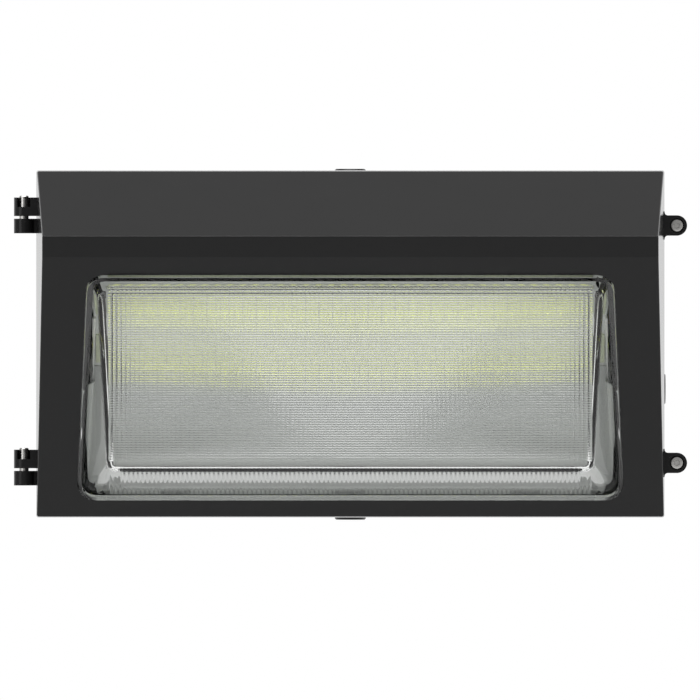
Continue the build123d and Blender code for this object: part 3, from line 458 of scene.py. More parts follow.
GREEN_STEEL = Finish(
    "green_passivated_steel", (0.12, 0.35, 0.16), roughness=0.35, metallic=1.0,
    texture=Texture.BRUSHED, relief=0.000004,
)
LENS_GLASS = PressedGlass("pressed_glass", (0.97, 0.98, 0.97), 0.01, 1.5, 0.00002)
BOARD_MASK = BoardMask("white_solder_mask", (0.76, 0.8, 0.6), 0.00835)

AnyFinish = Finish | PressedGlass | BoardMask


class Paintbox:
    """Makes each finish's material once and hands it out."""

    def __init__(self) -> None:
        """Build the shared effects."""
        self.effects = Effects()
        self.made: dict[str, bpy.types.Material] = {}

    def get(self, finish: AnyFinish) -> bpy.types.Material:
        """Return the material of a finish, made when first asked for.

        Args:
            finish: The finish.

        Returns:
            Its material.
        """
        if finish.name not in self.made:
            self.made[finish.name] = finish.build(self.effects)
        return self.made[finish.name]

    def coat(self, nodes: Sequence[str], finish: AnyFinish) -> None:
        """Give CAD nodes a finish.

        Args:
            nodes: Names of CAD nodes.
            finish: The finish.
        """
        for name in nodes:
            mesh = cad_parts[name].data
            mesh.materials.clear()
            mesh.materials.append(self.get(finish))


# ---------------------------------------------------------------- mesh helpers
def circle_ring(radius: float, height: float, points: int) -> Ring:
    """Return a ring of points at one height.

    Args:
        radius: Radius in metres.
        height: Height along the axis in metres.
        points: Number of points.

    Returns:
        The points, in order round the axis.
    """
    turn = math.tau / points
    return [(radius * math.cos(i * turn), radius * math.sin(i * turn), height) for i in range(points)]


def hexagon_ring(flat_radius: float, height: float, points: int) -> Ring:
    """Return a ring of points that follows a hexagon.

    Args:
        flat_radius: Distance from the axis to the hexagon's flats, in metres.
        height: Height along the axis in metres.
        points: Number of points, a multiple of six.

    Returns:
        The points, in order round the axis.
    """
    ring = []
    for i in range(points):
        angle = math.tau * i / points
        within = (angle + math.pi / 6) % (math.pi / 3) - math.pi / 6
        radius = flat_radius / math.cos(within)
        ring.append((radius * math.cos(angle), radius * math.sin(angle), height))
    return ring


def thread_ring(radius: float, depth: float, pitch: float, height: float, points: int) -> Ring:
    """Return a ring of points on a helical thread.

    Args:
        radius: Outer radius in metres.
        depth: Depth of the thread in metres.
        pitch: Advance of the thread per turn in metres.
        height: Height along the axis in metres.
        points: Number of points.

    Returns:
        The points, in order round the axis.
    """
    ring = []
    for i in range(points):
        angle = math.tau * i / points
        phase = (height / pitch + i / points) % 1.0
        here = radius - depth * abs(2 * phase - 1)
        ring.append((here * math.cos(angle), here * math.sin(angle), height))
    return ring


def skin(rings: Sequence[Ring]) -> bmesh.types.BMesh:
    """Join rings of equal count into one closed mesh.

    Args:
        rings: Rings from one end to the other.

    Returns:
        The mesh, with both ends capped.
    """
    mesh = bmesh.new()
    loops = [[mesh.verts.new(point) for point in ring] for ring in rings]
    count = len(loops[0])
    for low, high in zip(loops, loops[1:]):
        for i in range(count):
            after = (i + 1) % count
            mesh.faces.new((low[i], low[after], high[after], high[i]))
    mesh.faces.new(list(reversed(loops[0])))
    mesh.faces.new(loops[-1])
    bmesh.ops.recalc_face_normals(mesh, faces=mesh.faces)
    return mesh


def object_from(mesh: bmesh.types.BMesh, name: str, materials: Sequence[bpy.types.Material],
                place: Matrix) -> bpy.types.Object:
    """Turn a mesh into a shown object.

    Args:
        mesh: The mesh, which is freed.
        name: Name of the object.
        materials: Its materials.
        place: Transform that is baked into the mesh.

    Returns:
        The object.
    """
    data = bpy.data.meshes.new(name)
    mesh.transform(place)
    mesh.to_mesh(data)
    mesh.free()
    for material in materials:
        data.materials.append(material)
    piece = bpy.data.objects.new(name, data)
    bpy.context.scene.collection.objects.link(piece)
    return piece


def smooth_by_angle(piece: bpy.types.Object, degrees: float) -> None:
    """Shade a piece smooth but keep its sharp edges.

    Args:
        piece: The piece.
        degrees: Angle above which an edge stays sharp.
    """
    piece.data.polygons.foreach_set("use_smooth", [True] * len(piece.data.polygons))
    piece.data.set_sharp_from_angle(angle=math.radians(degrees))


# ---------------------------------------------------------------- prismatic lens
@dataclass(frozen=True)
class LevelOutline:
    """Outline with four sides, level above and below and the same on the left and the right.

    Attributes:
        top: Middle of its upper side.
        bottom: Middle of its lower side.
        top_half: Half the length of its upper side, in metres.
        bottom_half: Half the length of its lower side, in metres.
        corner: Radius of its corners, in metres.
    """

    top: Vector
    bottom: Vector
    top_half: float
    bottom_half: float
    corner: float

    def inset(self, margin: float) -> "LevelOutline":
        """Return the outline with its sides moved inward in its own plane.

        Args:
            margin: Distance inward in metres, negative for outward.

        Returns:
            The new outline.
        """
        rise = self.top - self.bottom
        height = rise.length
        taper = (self.top_half - self.bottom_half) / height
        side = margin * math.hypot(1.0, taper)
        step = rise.normalized() * margin
        return LevelOutline(
            self.top - step, self.bottom + step,
            self.top_half - taper * margin - side, self.bottom_half + taper * margin - side,
            max(self.corner - margin, 0.5 * MM),
        )

    def ring(self, columns: Sequence[float], side_points: int, corner_points: int) -> list[Vector]:
        """Return the points of the outline, clockwise from the upper left.

        Args:
            columns: X of the points on the upper and lower sides, from left to right. Those beyond
                the straight part of a side lie on its corners.
            side_points: Number of points inside the left and the right side.
            corner_points: Number of points on what the columns leave of each corner.

        Returns:
            The points.
        """
        rise = self.top - self.bottom
        height = rise.length
        lean = math.atan2(self.bottom_half - self.top_half, height)
        up = rise.normalized()
        reach = columns[-1]
        half: list[tuple[float, float]] = []
        upper_turn, lower_turn = math.pi / 2 - lean, math.pi / 2 + lean
        upper_end = self.top_half - self.corner * math.tan(upper_turn / 2)
        lower_end = self.bottom_half - self.corner * math.tan(lower_turn / 2)

        def on_corner(end: float, past: float) -> tuple[float, float]:
            """Return X and drop of a point that lies past the end of a straight side."""
            angle = max(past, 0.0) / self.corner
            return (end + min(past, 0.0) + self.corner * math.sin(angle),
                    self.corner * (1 - math.cos(angle)))

        for i in range(1, corner_points + 1):
            past = reach - upper_end
            past += (self.corner * upper_turn - reach + upper_end) * i / corner_points
            x, drop = on_corner(upper_end, past)
            half.append((x, height - drop))
        foot_x, foot_drop = on_corner(lower_end, self.corner * lower_turn)
        head_x, head_height = half[-1]
        for i in range(1, side_points + 1):
            share = i / (side_points + 1)
            half.append((head_x + (foot_x - head_x) * share,
                         head_height + (foot_drop - head_height) * share))
        for i in range(corner_points):
            past = self.corner * lower_turn
            past += (reach - lower_end - past) * i / corner_points
            half.append(on_corner(lower_end, past))
        upper = [(math.copysign(on_corner(upper_end, abs(x) - upper_end)[0], x),
                  height - on_corner(upper_end, abs(x) - upper_end)[1]) for x in columns]
        lower = [(math.copysign(on_corner(lower_end, abs(x) - lower_end)[0], x),
                  on_corner(lower_end, abs(x) - lower_end)[1]) for x in columns]
        flat = upper + half + lower[::-1] + [(-x, at) for x, at in reversed(half)]
        return [self.bottom + up * at + Vector((x, 0, 0)) for x, at in flat]


# Share of a ridge added to a place, so that a foot between two ridges always counts to the next
RIDGE_FOOT = 1e-6
# Least cosine between a face and the panel's normal for the face to be shaded flat
FLAT_COSINE = 0.9999


def ridge(place: float, pitch: float, height: float) -> float:
    """Return the height of a row of round ridges at a place across them.

    Args:
        place: Distance across the ridges in metres.
        pitch: Width of a ridge in metres.
        height: Height of a ridge in metres.

    Returns:
        The height in metres.
    """
    across = 2 * ((place / pitch + RIDGE_FOOT) % 1.0) - 1
    return height * max(1 - across * across, 0.0)


def evenly(start: float, end: float, steps: int) -> list[float]:
    """Return the places that part a run into equal steps, both ends among them."""
    return [start + (end - start) * i / steps for i in range(steps + 1)]


def curve_between(start: Sequence[Vector], bend: Sequence[Vector], end: Sequence[Vector],
                  steps: int) -> list[list[Vector]]:
    """Round the edge between two surfaces.

    Args:
        start: Ring on the first surface.
        bend: Ring on the sharp edge.
        end: Ring on the second surface.
        steps: Number of steps of the round.

    Returns:
        The rings of the round, from the first surface to the second.
    """
    rings = []
    for share in evenly(0.0, 1.0, steps):
        rest = 1 - share
        rings.append([a * rest * rest + b * 2 * rest * share + c * share * share
                      for a, b, c in zip(start, bend, end)])
    return rings


@dataclass
class PrismaticLens:
    """Pressed glass lens: round flutes outside, level prisms inside and ribs on its underside."""

    node: str = "lens"
    body: str = "door"
    face_tilt: float = math.radians(32.1854)
    face_depth: float = 151.9925 * MM
    setback: float = 4.7 * MM
    opening: tuple[float, float] = (46.8 * MM, -107.3 * MM)
    opening_half: tuple[float, float] = (179.6 * MM, 187.2 * MM)
    clearance: float = 1.0 * MM
    gap_above: float = 1.9 * MM
    gap_beside: float = 0.6 * MM
    gap_below: float = 0.3 * MM
    wall: float = 4.0 * MM
    draft: float = math.radians(15)
    side_draft: float = math.radians(18.5)
    corner: float = 12.0 * MM
    panel_corner: float = 8.0 * MM
    flange: float = 7.0 * MM
    flange_below: float = 4.5 * MM
    flange_corner: float = 20.0 * MM
    panel_top: tuple[float, float] = (187.6852 * MM, 44.0 * MM)
    panel_bottom: tuple[float, float] = (149.2366 * MM, -87.0 * MM)
    lip: float = 2.4 * MM
    lower_lip: float = 5.0 * MM
    bead_height: float = 5.2 * MM
    bead_width: float = 2.4 * MM
    bead_round: float = 0.7 * MM
    wall_step: float = 2.2 * MM
    flute_pitch: float = 3.05 * MM
    flute_height: float = 0.7 * MM
    flute_pairs: int = 54
    flute_points: int = 8
    flute_start: float = 4.6 * MM
    flute_end: float = 7.3 * MM
    prism_pitch: float = 1.72 * MM
    prism_height: float = 0.5 * MM
    prism_points: int = 6
    rib_height: float = 0.45 * MM
    rib_margin: float = 2.7 * MM
    rib_end_margin: float = 8.0 * MM
    ramp: float = 1.2 * MM
    wall_gap: float = 0.2 * MM
    rib_corner_share: float = 1.2
    side_points: int = 6
    corner_points: int = 6
    round_steps: int = 4
    lip_steps: int = 6
    inner_reach: float = 150.0 * MM
    inner_steps: int = 6
    smooth_angle: float = 42.0

    def __post_init__(self) -> None:
        """Work out the directions of the face and of the panel."""
        sine, cosine = math.sin(self.face_tilt), math.cos(self.face_tilt)
        self.slope = Vector((0, -sine, cosine))
        self.outward = Vector((0, -cosine, -sine))
        self.base = Vector((0, -self.face_depth, 0)) - self.outward * self.setback
        self.base_top = self.opening[0] / cosine - self.clearance
        self.base_bottom = self.opening[1] / cosine + self.clearance
        self.panel_head = Vector((0, -self.panel_top[0], self.panel_top[1]))
        self.panel_foot = Vector((0, -self.panel_bottom[0], self.panel_bottom[1]))
        self.panel_up = (self.panel_head - self.panel_foot).normalized()
        self.panel_out = self.panel_up.cross(Vector((-1, 0, 0)))
        top_half, bottom_half = (half - self.clearance - self.wall_step for half in self.opening_half)
        self.taper = math.atan2(bottom_half - top_half, self.base_top - self.base_bottom)
        self.side_offset = math.cos(self.taper) * top_half + math.sin(self.taper) * self.base_top

    def half_width(self, spot: Vector, inset: float) -> float:
        """Return X of the drafted side wall at a point of the middle section.

        Args:
            spot: Point of the middle section.
            inset: Distance of the wall's surface inside the outer one, in metres.

        Returns:
            Half the width in metres.
        """
        along, above = (spot - self.base).dot(self.slope), (spot - self.base).dot(self.outward)
        moved = inset + math.sin(self.side_draft) * above
        reach = self.side_offset - moved / math.cos(self.side_draft)
        return (reach - math.sin(self.taper) * along) / math.cos(self.taper)

    def outline(self, top: Vector, bottom: Vector, inset: float) -> LevelOutline:
        """Return the outline of the walls between two points of the middle section."""
        return LevelOutline(top, bottom, self.half_width(top, inset), self.half_width(bottom, inset),
                            self.panel_corner - inset)

    def section(self, inset: float, level: float) -> tuple[Vector, Vector, Vector, Vector]:
        """Return the corners of the middle section.

        Args:
            inset: Distance of the surface inside the outer one, in metres.
            level: Height of the section's base in front of the lens's base, in metres.

        Returns:
            Top and bottom of the base, then top and bottom of the panel.
        """
        rise = self.outward * math.cos(self.draft) - self.slope * math.sin(self.draft)
        top_out = self.slope * math.cos(self.draft) + self.outward * math.sin(self.draft)
        top_spot = self.base + self.slope * (self.base_top - self.wall_step) - top_out * inset
        foot_spot = self.base + self.slope * self.base_bottom
        under = (self.panel_foot - foot_spot).normalized()
        foot_spot = foot_spot - Vector((1, 0, 0)).cross(under) * inset
        floor = self.base + self.outward * level
        panel = self.panel_head - self.panel_out * inset
        return (
            intersect_line_plane(top_spot, top_spot + rise, floor, self.outward),
            intersect_line_plane(foot_spot, foot_spot + under, floor, self.outward),
            intersect_line_plane(top_spot, top_spot + rise, panel, self.panel_out),
            intersect_line_plane(foot_spot, foot_spot + under, panel, self.panel_out),
        )

    def rim_outline(self, level: float, above: float, beside: float, below: float,
                    corner: float) -> LevelOutline:
        """Return an outline that follows the opening in the door's face.

        Args:
            level: Height in front of the lens's base, in metres.
            above: Distance outside the opening's upper edge, in metres.
            beside: Distance outside its left and right edges, in metres.
            below: Distance outside its lower edge, in metres.
            corner: Radius of the corners, in metres.

        Returns:
            The outline.
        """
        cosine = math.cos(self.face_tilt)
        taper = (self.opening_half[1] - self.opening_half[0]) * cosine / (self.opening[0] - self.opening[1])
        middle = self.base + self.outward * level
        return LevelOutline(
            middle + self.slope * (self.opening[0] / cosine + above),
            middle + self.slope * (self.opening[1] / cosine - below),
            self.opening_half[0] + beside - taper * above,
            self.opening_half[1] + beside + taper * below,
            corner,
        )

    def bead_outline(self, level: float, inset: float) -> LevelOutline:
        """Return an outline of the bead that stands in the opening, inset from its outer side."""
        return self.rim_outline(level, -self.gap_above - inset, -self.gap_beside - inset,
                                -self.gap_below - inset, self.corner - inset)

    def outer_rings(self, columns: Sequence[float]) -> list[list[Vector]]:
        """Return the rings of the outer skin, from the flange's back to the panel.

        Args:
            columns: X of the points on the upper and lower sides.

        Returns:
            The rings.
        """
        top, foot, head, end = self.section(0.0, 0.0)
        rise, under = head - top, end - foot
        down = Vector((1, 0, 0)).cross(under.normalized())

        def ring(form: LevelOutline) -> list[Vector]:
            """Return the ring of an outline."""
            return form.ring(columns, self.side_points, self.corner_points)

        def on_walls(past_top: float, past_foot: float, ribbed: bool = False) -> list[Vector]:
            """Return the ring at two distances along the top wall and the underside."""
            form = self.outline(top + rise.normalized() * past_top,
                                foot + under.normalized() * past_foot, 0.0)
            points = ring(form)
            first = len(columns) + self.side_points + 2 * self.corner_points
            reach = form.bottom_half - self.rib_corner_share * form.corner
            for i in range(first, first + len(columns)) if ribbed else ():
                x = points[i].x
                if abs(x) < reach:
                    points[i] = points[i] + down * ridge(x, self.flute_pitch, self.rib_height)
            return points

        panel = self.outline(head, end, 0.0)
        edge, width, height = self.bead_round, self.bead_width, self.bead_height
        flange = (self.flange, self.flange, self.flange_below, self.flange_corner)
        rings = [ring(self.rim_outline(level, *flange)) for level in (-self.wall, 0.0)]
        rings.append(ring(self.bead_outline(0.0, 0.0)))
        rings += curve_between(ring(self.bead_outline(height - edge, 0.0)),
                               ring(self.bead_outline(height, 0.0)),
                               ring(self.bead_outline(height, edge)), self.round_steps)
        past_top = (height + self.wall_gap) / rise.normalized().dot(self.outward)
        past_foot = width / abs(under.normalized().dot(self.slope))
        rings += curve_between(ring(self.bead_outline(height, width - edge)),
                               ring(self.bead_outline(height, width)),
                               on_walls(past_top, past_foot + self.wall_gap), self.round_steps)
        left, right = self.rib_end_margin, under.length - self.rib_margin
        last = rise.length - self.lip
        stops = ((left, False), (left + self.ramp, True), (right - self.ramp, True), (right, False))
        part = 1 / (len(stops) + 1)
        for i, (stop, ribbed) in enumerate(stops):
            rings.append(on_walls(past_top + part * (i + 1) * (last - past_top), stop, ribbed))
        rings += curve_between(on_walls(last, under.length - self.lip), ring(panel),
                               ring(self.lip_end(panel)), self.lip_steps)
        return rings

    def lip_end(self, panel: LevelOutline) -> LevelOutline:
        """Return the outline on the panel where the round of its edge ends."""
        form = panel.inset(self.lip)
        step = self.lower_lip - self.lip
        taper = (form.top_half - form.bottom_half) / (form.top - form.bottom).length
        return replace(form, bottom=form.bottom + self.panel_up * step,
                       bottom_half=form.bottom_half + taper * step)

    def inner_rings(self) -> list[list[Vector]]:
        """Return the rings of the inner skin, from the flange's back to the panel."""
        top, foot, head, end = self.section(self.wall, -self.wall)
        columns = evenly(-self.inner_reach, self.inner_reach, self.inner_steps)
        points = (columns, self.side_points, self.corner_points)
        base = self.outline(top, foot, self.wall)
        near = self.outline(head + (top - head).normalized() * self.lip,
                            end + (foot - end).normalized() * self.lip, self.wall)
        panel = self.outline(head, end, self.wall)
        return [base.ring(*points)] + curve_between(
            near.ring(*points), panel.ring(*points), self.lip_end(panel).ring(*points),
            self.round_steps)

    def field_of(self, mesh: bmesh.types.BMesh, across: Sequence[float], along: Sequence[float],
                 origin: Vector, height: Callable[[int, int], Vector]) -> list[bmesh.types.BMEdge]:
        """Make a field of ridges on the panel.

        Args:
            mesh: Mesh that the field goes into.
            across: X of its columns.
            along: Distances of its rows below the panel's top.
            origin: Top of the panel's surface.
            height: Gives the step out of the surface at a column and a row, by their numbers.

        Returns:
            The edges round the field.
        """
        grid = [[mesh.verts.new(origin - self.panel_up * down + Vector((x, 0, 0)) + height(i, j))
                 for i, x in enumerate(across)] for j, down in enumerate(along)]
        for above, below in zip(grid, grid[1:]):
            for i in range(len(across) - 1):
                mesh.faces.new((above[i], above[i + 1], below[i + 1], below[i]))
        border = (grid[0] + [row[-1] for row in grid[1:]] + grid[-1][-2::-1]
                  + [row[0] for row in grid[-2:0:-1]])
        return [mesh.edges.get(pair) for pair in zip(border, border[1:] + border[:1])]

    def add_rings(self, mesh: bmesh.types.BMesh, rings: Sequence[Sequence[Vector]]) -> tuple[
            list[bmesh.types.BMEdge], list[bmesh.types.BMEdge]]:
        """Join rings into a skin and return the edges of its first and its last ring."""
        loops = [[mesh.verts.new(point) for point in ring] for ring in rings]
        count = len(loops[0])
        for low, high in zip(loops, loops[1:]):
            for i in range(count):
                after = (i + 1) % count
                mesh.faces.new((low[i], low[after], high[after], high[i]))
        ends = [[mesh.edges.get((loop[i], loop[(i + 1) % count])) for i in range(count)]
                for loop in (loops[0], loops[-1])]
        return ends[0], ends[1]

    def build(self, paints: Paintbox) -> bpy.types.Object:
        """Make the lens in place of its plainer CAD node.

        Args:
            paints: Where the finish comes from.

        Returns:
            The lens.
        """
        mesh = bmesh.new()
        reach = self.flute_pairs * self.flute_pitch
        columns = evenly(-reach, reach, 2 * self.flute_pairs * self.flute_points)
        length = (self.panel_head - self.panel_foot).length
        start, end = self.flute_start, length - self.flute_end
        back_edges, lip_edges = self.add_rings(mesh, self.outer_rings(columns))
        rows = [start, start + self.ramp, (start + end) / 2, end - self.ramp, end]

        def flute(i: int, j: int) -> Vector:
            """Return the step out of the panel at a column and a row of the flutes."""
            tall = ridge(columns[i], self.flute_pitch, self.flute_height)
            return self.panel_out * (tall if 0 < j < len(rows) - 1 else 0.0)

        flute_edges = self.field_of(mesh, columns, rows, self.panel_head, flute)
        prisms = int((end - start) / self.prism_pitch)
        levels = evenly(start, start + prisms * self.prism_pitch, prisms * self.prism_points)
        posts = [-reach, -reach + self.ramp, 0.0, reach - self.ramp, reach]

        def prism(i: int, j: int) -> Vector:
            """Return the step into the lens at a column and a row of the prisms."""
            tall = ridge(levels[j] - start, self.prism_pitch, self.prism_height)
            return self.panel_out * -(tall if 0 < i < len(posts) - 1 else 0.0)

        throat_edges, rim_edges = self.add_rings(mesh, self.inner_rings())
        prism_edges = self.field_of(mesh, posts, levels,
                                    self.panel_head - self.panel_out * self.wall, prism)
        for edges, normal in ((lip_edges + flute_edges, self.panel_out),
                              (rim_edges + prism_edges, self.panel_out),
                              (back_edges + throat_edges, self.outward)):
            bmesh.ops.triangle_fill(mesh, use_beauty=True, edges=edges, normal=normal)
        bmesh.ops.recalc_face_normals(mesh, faces=mesh.faces)
        loose = sum(1 for edge in mesh.edges if not edge.is_manifold)
        log.info("lens: %d faces, %d open edges", len(mesh.faces), loose)
        piece = object_from(mesh, "prismatic_lens", [paints.get(LENS_GLASS)], Matrix.Identity(4))
        smooth_by_angle(piece, self.smooth_angle)
        for face in piece.data.polygons:
            face.use_smooth = abs(face.normal.dot(self.panel_out)) < FLAT_COSINE
        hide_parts(self.node)
        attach(piece, self.body)
        return piece


# ---------------------------------------------------------------- sub-assemblies
@dataclass
class BackBox:
    """The cast box on the wall, with its gaskets, plugs and hinge pins."""

    castings: tuple[str, ...] = ("back_housing",)
    gaskets: tuple[str, ...] = ("rim_gasket", "wall_gasket")
    plugs: tuple[str, ...] = ("conduit_plugs",)
    pins: tuple[str, ...] = ("hinge_pins",)

    def dress(self, paints: Paintbox) -> None:
        """Give the box and what it carries their finishes.

        Args:
            paints: Where the finishes come from.
        """
        paints.coat(self.castings, CASTING_PAINT)
        paints.coat(self.gaskets, RUBBER)
        paints.coat(self.plugs, PLUG_PAINT)
        paints.coat(self.pins, STAINLESS)


@dataclass
class HoodedDoor:
    """The hooded door with its glass lens and what clamps it."""

    castings: tuple[str, ...] = ("door_frame",)
    gaskets: tuple[str, ...] = ("lens_gasket",)
    clamps: tuple[str, ...] = ("lens_clips", "lens_clip_screws")

    def dress(self, paints: Paintbox) -> None:
        """Give the door and what it carries their finishes.

        Args:
            paints: Where the finishes come from.
        """
        paints.coat(self.castings, CASTING_PAINT)
        paints.coat(self.gaskets, RUBBER)
        paints.coat(self.clamps, STAINLESS)


@dataclass
class CaptiveScrew:
    """Socket-head screw that holds the door shut, with a thinned neck and a rolled thread."""

    node: str
    body: str
    points: int = 48
    head_height: float = 3.4 * MM
    head_round: float = 1.0 * MM
    socket_radius: float = 1.7 * MM
    socket_depth: float = 1.8 * MM
    neck_radius: float = 1.75 * MM
    thread_radius: float = 2.4 * MM
    thread_depth: float = 0.35 * MM
    thread_pitch: float = 0.8 * MM
    thread_length: float = 9.0 * MM

    def build(self, paints: Paintbox) -> bpy.types.Object:
        """Make the screw in place of its plain CAD node.

        Args:
            paints: Where the finish comes from.

        Returns:
            The screw.
        """
        low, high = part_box(self.node)
        head_radius = (high.x - low.x) / 2
        length = high.y - low.y
        rings = [circle_ring(self.thread_radius * 0.6, 0.0, self.points)]
        steps = int(self.thread_length / self.thread_pitch * 8)
        for step in range(steps + 1):
            height = self.thread_length * step / steps
            rings.append(thread_ring(self.thread_radius, self.thread_depth, self.thread_pitch,
                                     height, self.points))
        under_head = length - self.head_height
        rings.append(circle_ring(self.neck_radius, self.thread_length + 0.3 * MM, self.points))
        rings.append(circle_ring(self.neck_radius, under_head, self.points))
        rings.append(circle_ring(head_radius, under_head, self.points))
        for step in range(7):
            angle = math.radians(15 * step)
            rings.append(circle_ring(
                head_radius - self.head_round * (1 - math.cos(angle)),
                length - self.head_round * (1 - math.sin(angle)), self.points))
        rings.append(hexagon_ring(self.socket_radius + 0.15 * MM, length, self.points))
        rings.append(hexagon_ring(self.socket_radius, length - 0.15 * MM, self.points))
        rings.append(hexagon_ring(self.socket_radius, length - self.socket_depth, self.points))
        middle = (low + high) / 2
        place = Matrix.Translation((middle.x, high.y, middle.z)) @ Matrix.Rotation(math.pi / 2, 4, "X")
        piece = object_from(skin(rings), f"screw_{self.body}", [paints.get(STAINLESS)], place)
        smooth_by_angle(piece, 35)
        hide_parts(self.node)
        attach(piece, self.body)
        return piece


@dataclass
class LedEngine:
    """The white tray and reflector, with the two LED boards and all that is mounted on them."""

    sheets: tuple[str, ...] = ("led_tray",)
    reflectors: tuple[str, ...] = ("reflector",)
    boards: tuple[str, ...] = ("led_board_upper", "led_board_lower")
    chips: tuple[str, ...] = ("led_chips_upper", "led_chips_lower")
    screws: tuple[str, ...] = ("tray_screws", "board_screws")
    plastics: tuple[str, ...] = ("board_connector", "tray_clips")
    grommets: tuple[str, ...] = ("lead_grommet",)

    def dress(self, paints: Paintbox) -> None:
        """Give the tray and the boards their finishes.

        Args:
            paints: Where the finishes come from.
        """
        paints.coat(self.sheets, WHITE_SHEET)
        # The reflector's grey is painted shade on the same white sheet as the tray.
        paints.coat(self.reflectors, SHADED_REFLECTOR_SHEET)
        paints.coat(self.boards, BOARD_MASK)
        paints.coat(self.chips, PHOSPHOR_PAINTED_GLOW)
        paints.coat(self.screws, STAINLESS)
        paints.coat(self.plastics, WHITE_PLASTIC)
        paints.coat(self.grommets, RUBBER)


@dataclass
class DriverBay:
    """The LED driver with its leads, wire nuts and earth."""

    cases: tuple[str, ...] = ("driver_case", "driver_lid")
    jackets: dict[str, Finish] = field(default_factory=lambda: {
        "output_lead_red": RED_JACKET,
        "output_lead_black": BLACK_JACKET,
        "supply_lead_black": BLACK_JACKET,
        "supply_lead_white": WHITE_JACKET,
        "earth_lead": GREEN_JACKET,
    })

    def dress(self, paints: Paintbox) -> None:
        """Give the driver and the wiring their finishes.

        Args:
            paints: Where the finishes come from.
        """
        paints.coat(self.cases, DRIVER_METAL)
        paints.coat(["driver_potting"], POTTING)
        paints.coat(["driver_screws"], STAINLESS)
        for node, jacket in self.jackets.items():
            paints.coat([node], jacket)
        paints.coat(["wire_nuts"], NUT_SHELL)
        paints.coat(["ground_terminal"], BRASS)
        paints.coat(["ground_screw"], GREEN_STEEL)


# ---------------------------------------------------------------- camera, lights and stage
@dataclass(frozen=True)
class Viewpoint:
    """The photograph's view, square on to the front with a long lens.

    Attributes:
        frame_width: Width that the picture takes in at the widest section, in metres.
        section_depth: Distance of the widest section in front of the wall, in metres.
        centre: X and Z of the picture's centre, in metres.
        distance: Distance from the camera to the widest section, in metres.
        sensor: Width of the camera's sensor, in millimetres.
    """

    frame_width: float = 0.47915
    section_depth: float = 0.0656
    centre: tuple[float, float] = (-0.00024, -0.00418)
    distance: float = 20.0
    sensor: float = 36.0

    def set_up(self) -> None:
        """Create the camera and make it the scene's camera."""
        data = bpy.data.cameras.new("front_camera")
        data.sensor_width = self.sensor
        data.lens = self.sensor * self.distance / self.frame_width
        data.clip_end = 2 * self.distance
        camera = bpy.data.objects.new("front_camera", data)
        x, z = self.centre
        camera.location = (x, -self.section_depth - self.distance, z)
        camera.rotation_euler = (math.pi / 2, 0, 0)
        bpy.context.scene.collection.objects.link(camera)
        bpy.context.scene.camera = camera


@dataclass(frozen=True)
class SoftLight:
    """One soft box, aimed at the light's middle.

    Attributes:
        name: Name of the lamp.
        place: Where it stands, in metres.
        size: Width and height, in metres.
        power: Power in watts.
    """

    name: str
    place: tuple[float, float, float]
    size: tuple[float, float]
    power: float

    def set_up(self) -> None:
        """Create the lamp."""
        data = bpy.data.lights.new(self.name, "AREA")
        data.shape = "RECTANGLE"
        data.size, data.size_y = self.size
        data.energy = self.power
        lamp = bpy.data.objects.new(self.name, data)
        lamp.location = self.place
        aim = Vector((0, -0.1, 0)) - Vector(self.place)
        lamp.rotation_euler = aim.to_track_quat("-Z", "Y").to_euler()
        bpy.context.scene.collection.objects.link(lamp)


SOFT_LIGHTS = (
    SoftLight("top_soft_box", (0.0, -0.2, 2.4), (2.4, 1.0), 40.0),
    SoftLight("left_soft_box", (-2.2, -2.2, 0.6), (1.6, 1.6), 14.0),
    SoftLight("right_soft_box", (2.2, -2.2, 0.6), (1.6, 1.6), 14.0),
)


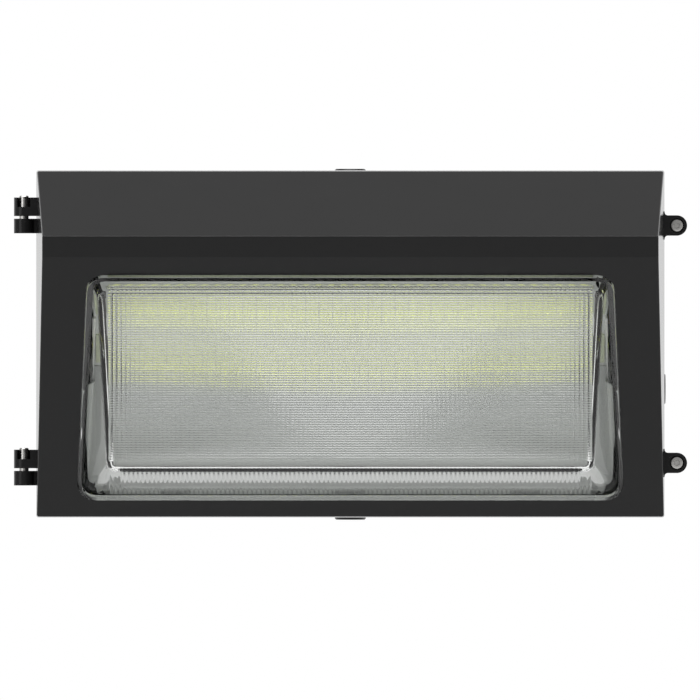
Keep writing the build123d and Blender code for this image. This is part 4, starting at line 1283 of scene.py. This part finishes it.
@dataclass(frozen=True)
class Studio:
    """A pale floor and backdrop, which show white, and an even dim surrounding light.

    Attributes:
        surround: Level of the light from all round.
        pale: Level of the stage in ordinary light.
        backdrop_y: How far behind the wall plane the backdrop stands, in metres.
        backdrop_top: Height of the backdrop's upper edge, in metres.
        floor_z: Height of the floor, in metres.
        reach: Half the width of the stage, in metres.
    """

    surround: float = 0.34
    pale: float = 0.8
    backdrop_y: float = 1.2
    backdrop_top: float = 0.9
    floor_z: float = -0.7
    reach: float = 6.0

    def white_paint(self) -> bpy.types.Material:
        """Make the stage's finish, white to the camera and in reflections and clear from behind.

        Returns:
            The material.
        """
        material = bpy.data.materials.new("stage_white")
        material.use_nodes = True
        sheet = NodeSheet(material.node_tree)
        shader = material.node_tree.nodes["Principled BSDF"]
        shader.inputs["Base Color"].default_value = (self.pale, self.pale, self.pale, 1.0)
        shader.inputs["Roughness"].default_value = 0.9
        glow = sheet.add("ShaderNodeEmission")
        path = sheet.add("ShaderNodeLightPath")
        seen = sheet.math("MAXIMUM", path.outputs["Is Camera Ray"], path.outputs["Is Glossy Ray"])
        seen = sheet.math("MAXIMUM", seen, path.outputs["Is Transmission Ray"])
        mix = sheet.add("ShaderNodeMixShader")
        sheet.link(seen, mix.inputs["Fac"])
        sheet.link(shader.outputs["BSDF"], mix.inputs[1])
        sheet.link(glow.outputs["Emission"], mix.inputs[2])
        one_sided = sheet.add("ShaderNodeMixShader")
        sheet.link(sheet.add("ShaderNodeNewGeometry").outputs["Backfacing"], one_sided.inputs["Fac"])
        sheet.link(mix.outputs["Shader"], one_sided.inputs[1])
        sheet.link(sheet.add("ShaderNodeBsdfTransparent").outputs["BSDF"], one_sided.inputs[2])
        sheet.link(one_sided.outputs["Shader"],
                   material.node_tree.nodes["Material Output"].inputs["Surface"])
        return material

    def sheet_of(self, name: str, corners: Sequence[Sequence[float]],
                 material: bpy.types.Material) -> None:
        """Make one flat sheet of the stage.

        Args:
            name: Name of the object.
            corners: Its four corners.
            material: Its finish.
        """
        mesh = bmesh.new()
        mesh.faces.new([mesh.verts.new(corner) for corner in corners])
        object_from(mesh, name, [material], Matrix.Identity(4))

    def set_up(self) -> None:
        """Create the backdrop, the floor and the surrounding light."""
        paint = self.white_paint()
        r, y, z, top = self.reach, self.backdrop_y, self.floor_z, self.backdrop_top
        self.sheet_of("backdrop", [(-r, y, z), (r, y, z), (r, y, top), (-r, y, top)], paint)
        self.sheet_of("floor", [(-r, -r, z), (r, -r, z), (r, y, z), (-r, y, z)], paint)
        world = bpy.data.worlds.new("studio")
        bpy.context.scene.world = world
        world.use_nodes = True
        sheet = NodeSheet(world.node_tree)
        path = sheet.add("ShaderNodeLightPath")
        level = sheet.math("MAXIMUM", path.outputs["Is Camera Ray"], self.surround)
        sheet.link(level, world.node_tree.nodes["Background"].inputs["Strength"])
        world.node_tree.nodes["Background"].inputs["Color"].default_value = (1.0, 1.0, 1.0, 1.0)


def main() -> None:
    """Dress the light, then set up the studio round it."""
    logging.basicConfig(level=logging.INFO, format="%(name)s: %(message)s")
    bpy.context.scene.view_settings.view_transform = "Standard"
    paints = Paintbox()
    for assembly in (BackBox(), HoodedDoor(), LedEngine(), DriverBay()):
        assembly.dress(paints)
        log.info("dressed %s", type(assembly).__name__)
    screws = [CaptiveScrew(f"captive_screw_{place}", f"screw_{place}") for place in ("upper", "lower")]
    for maker in (PrismaticLens(), *screws):
        log.info("built %s", maker.build(paints).name)
    Viewpoint().set_up()
    for lamp in SOFT_LIGHTS:
        lamp.set_up()
    Studio().set_up()


if __name__ == "__main__":
    main()
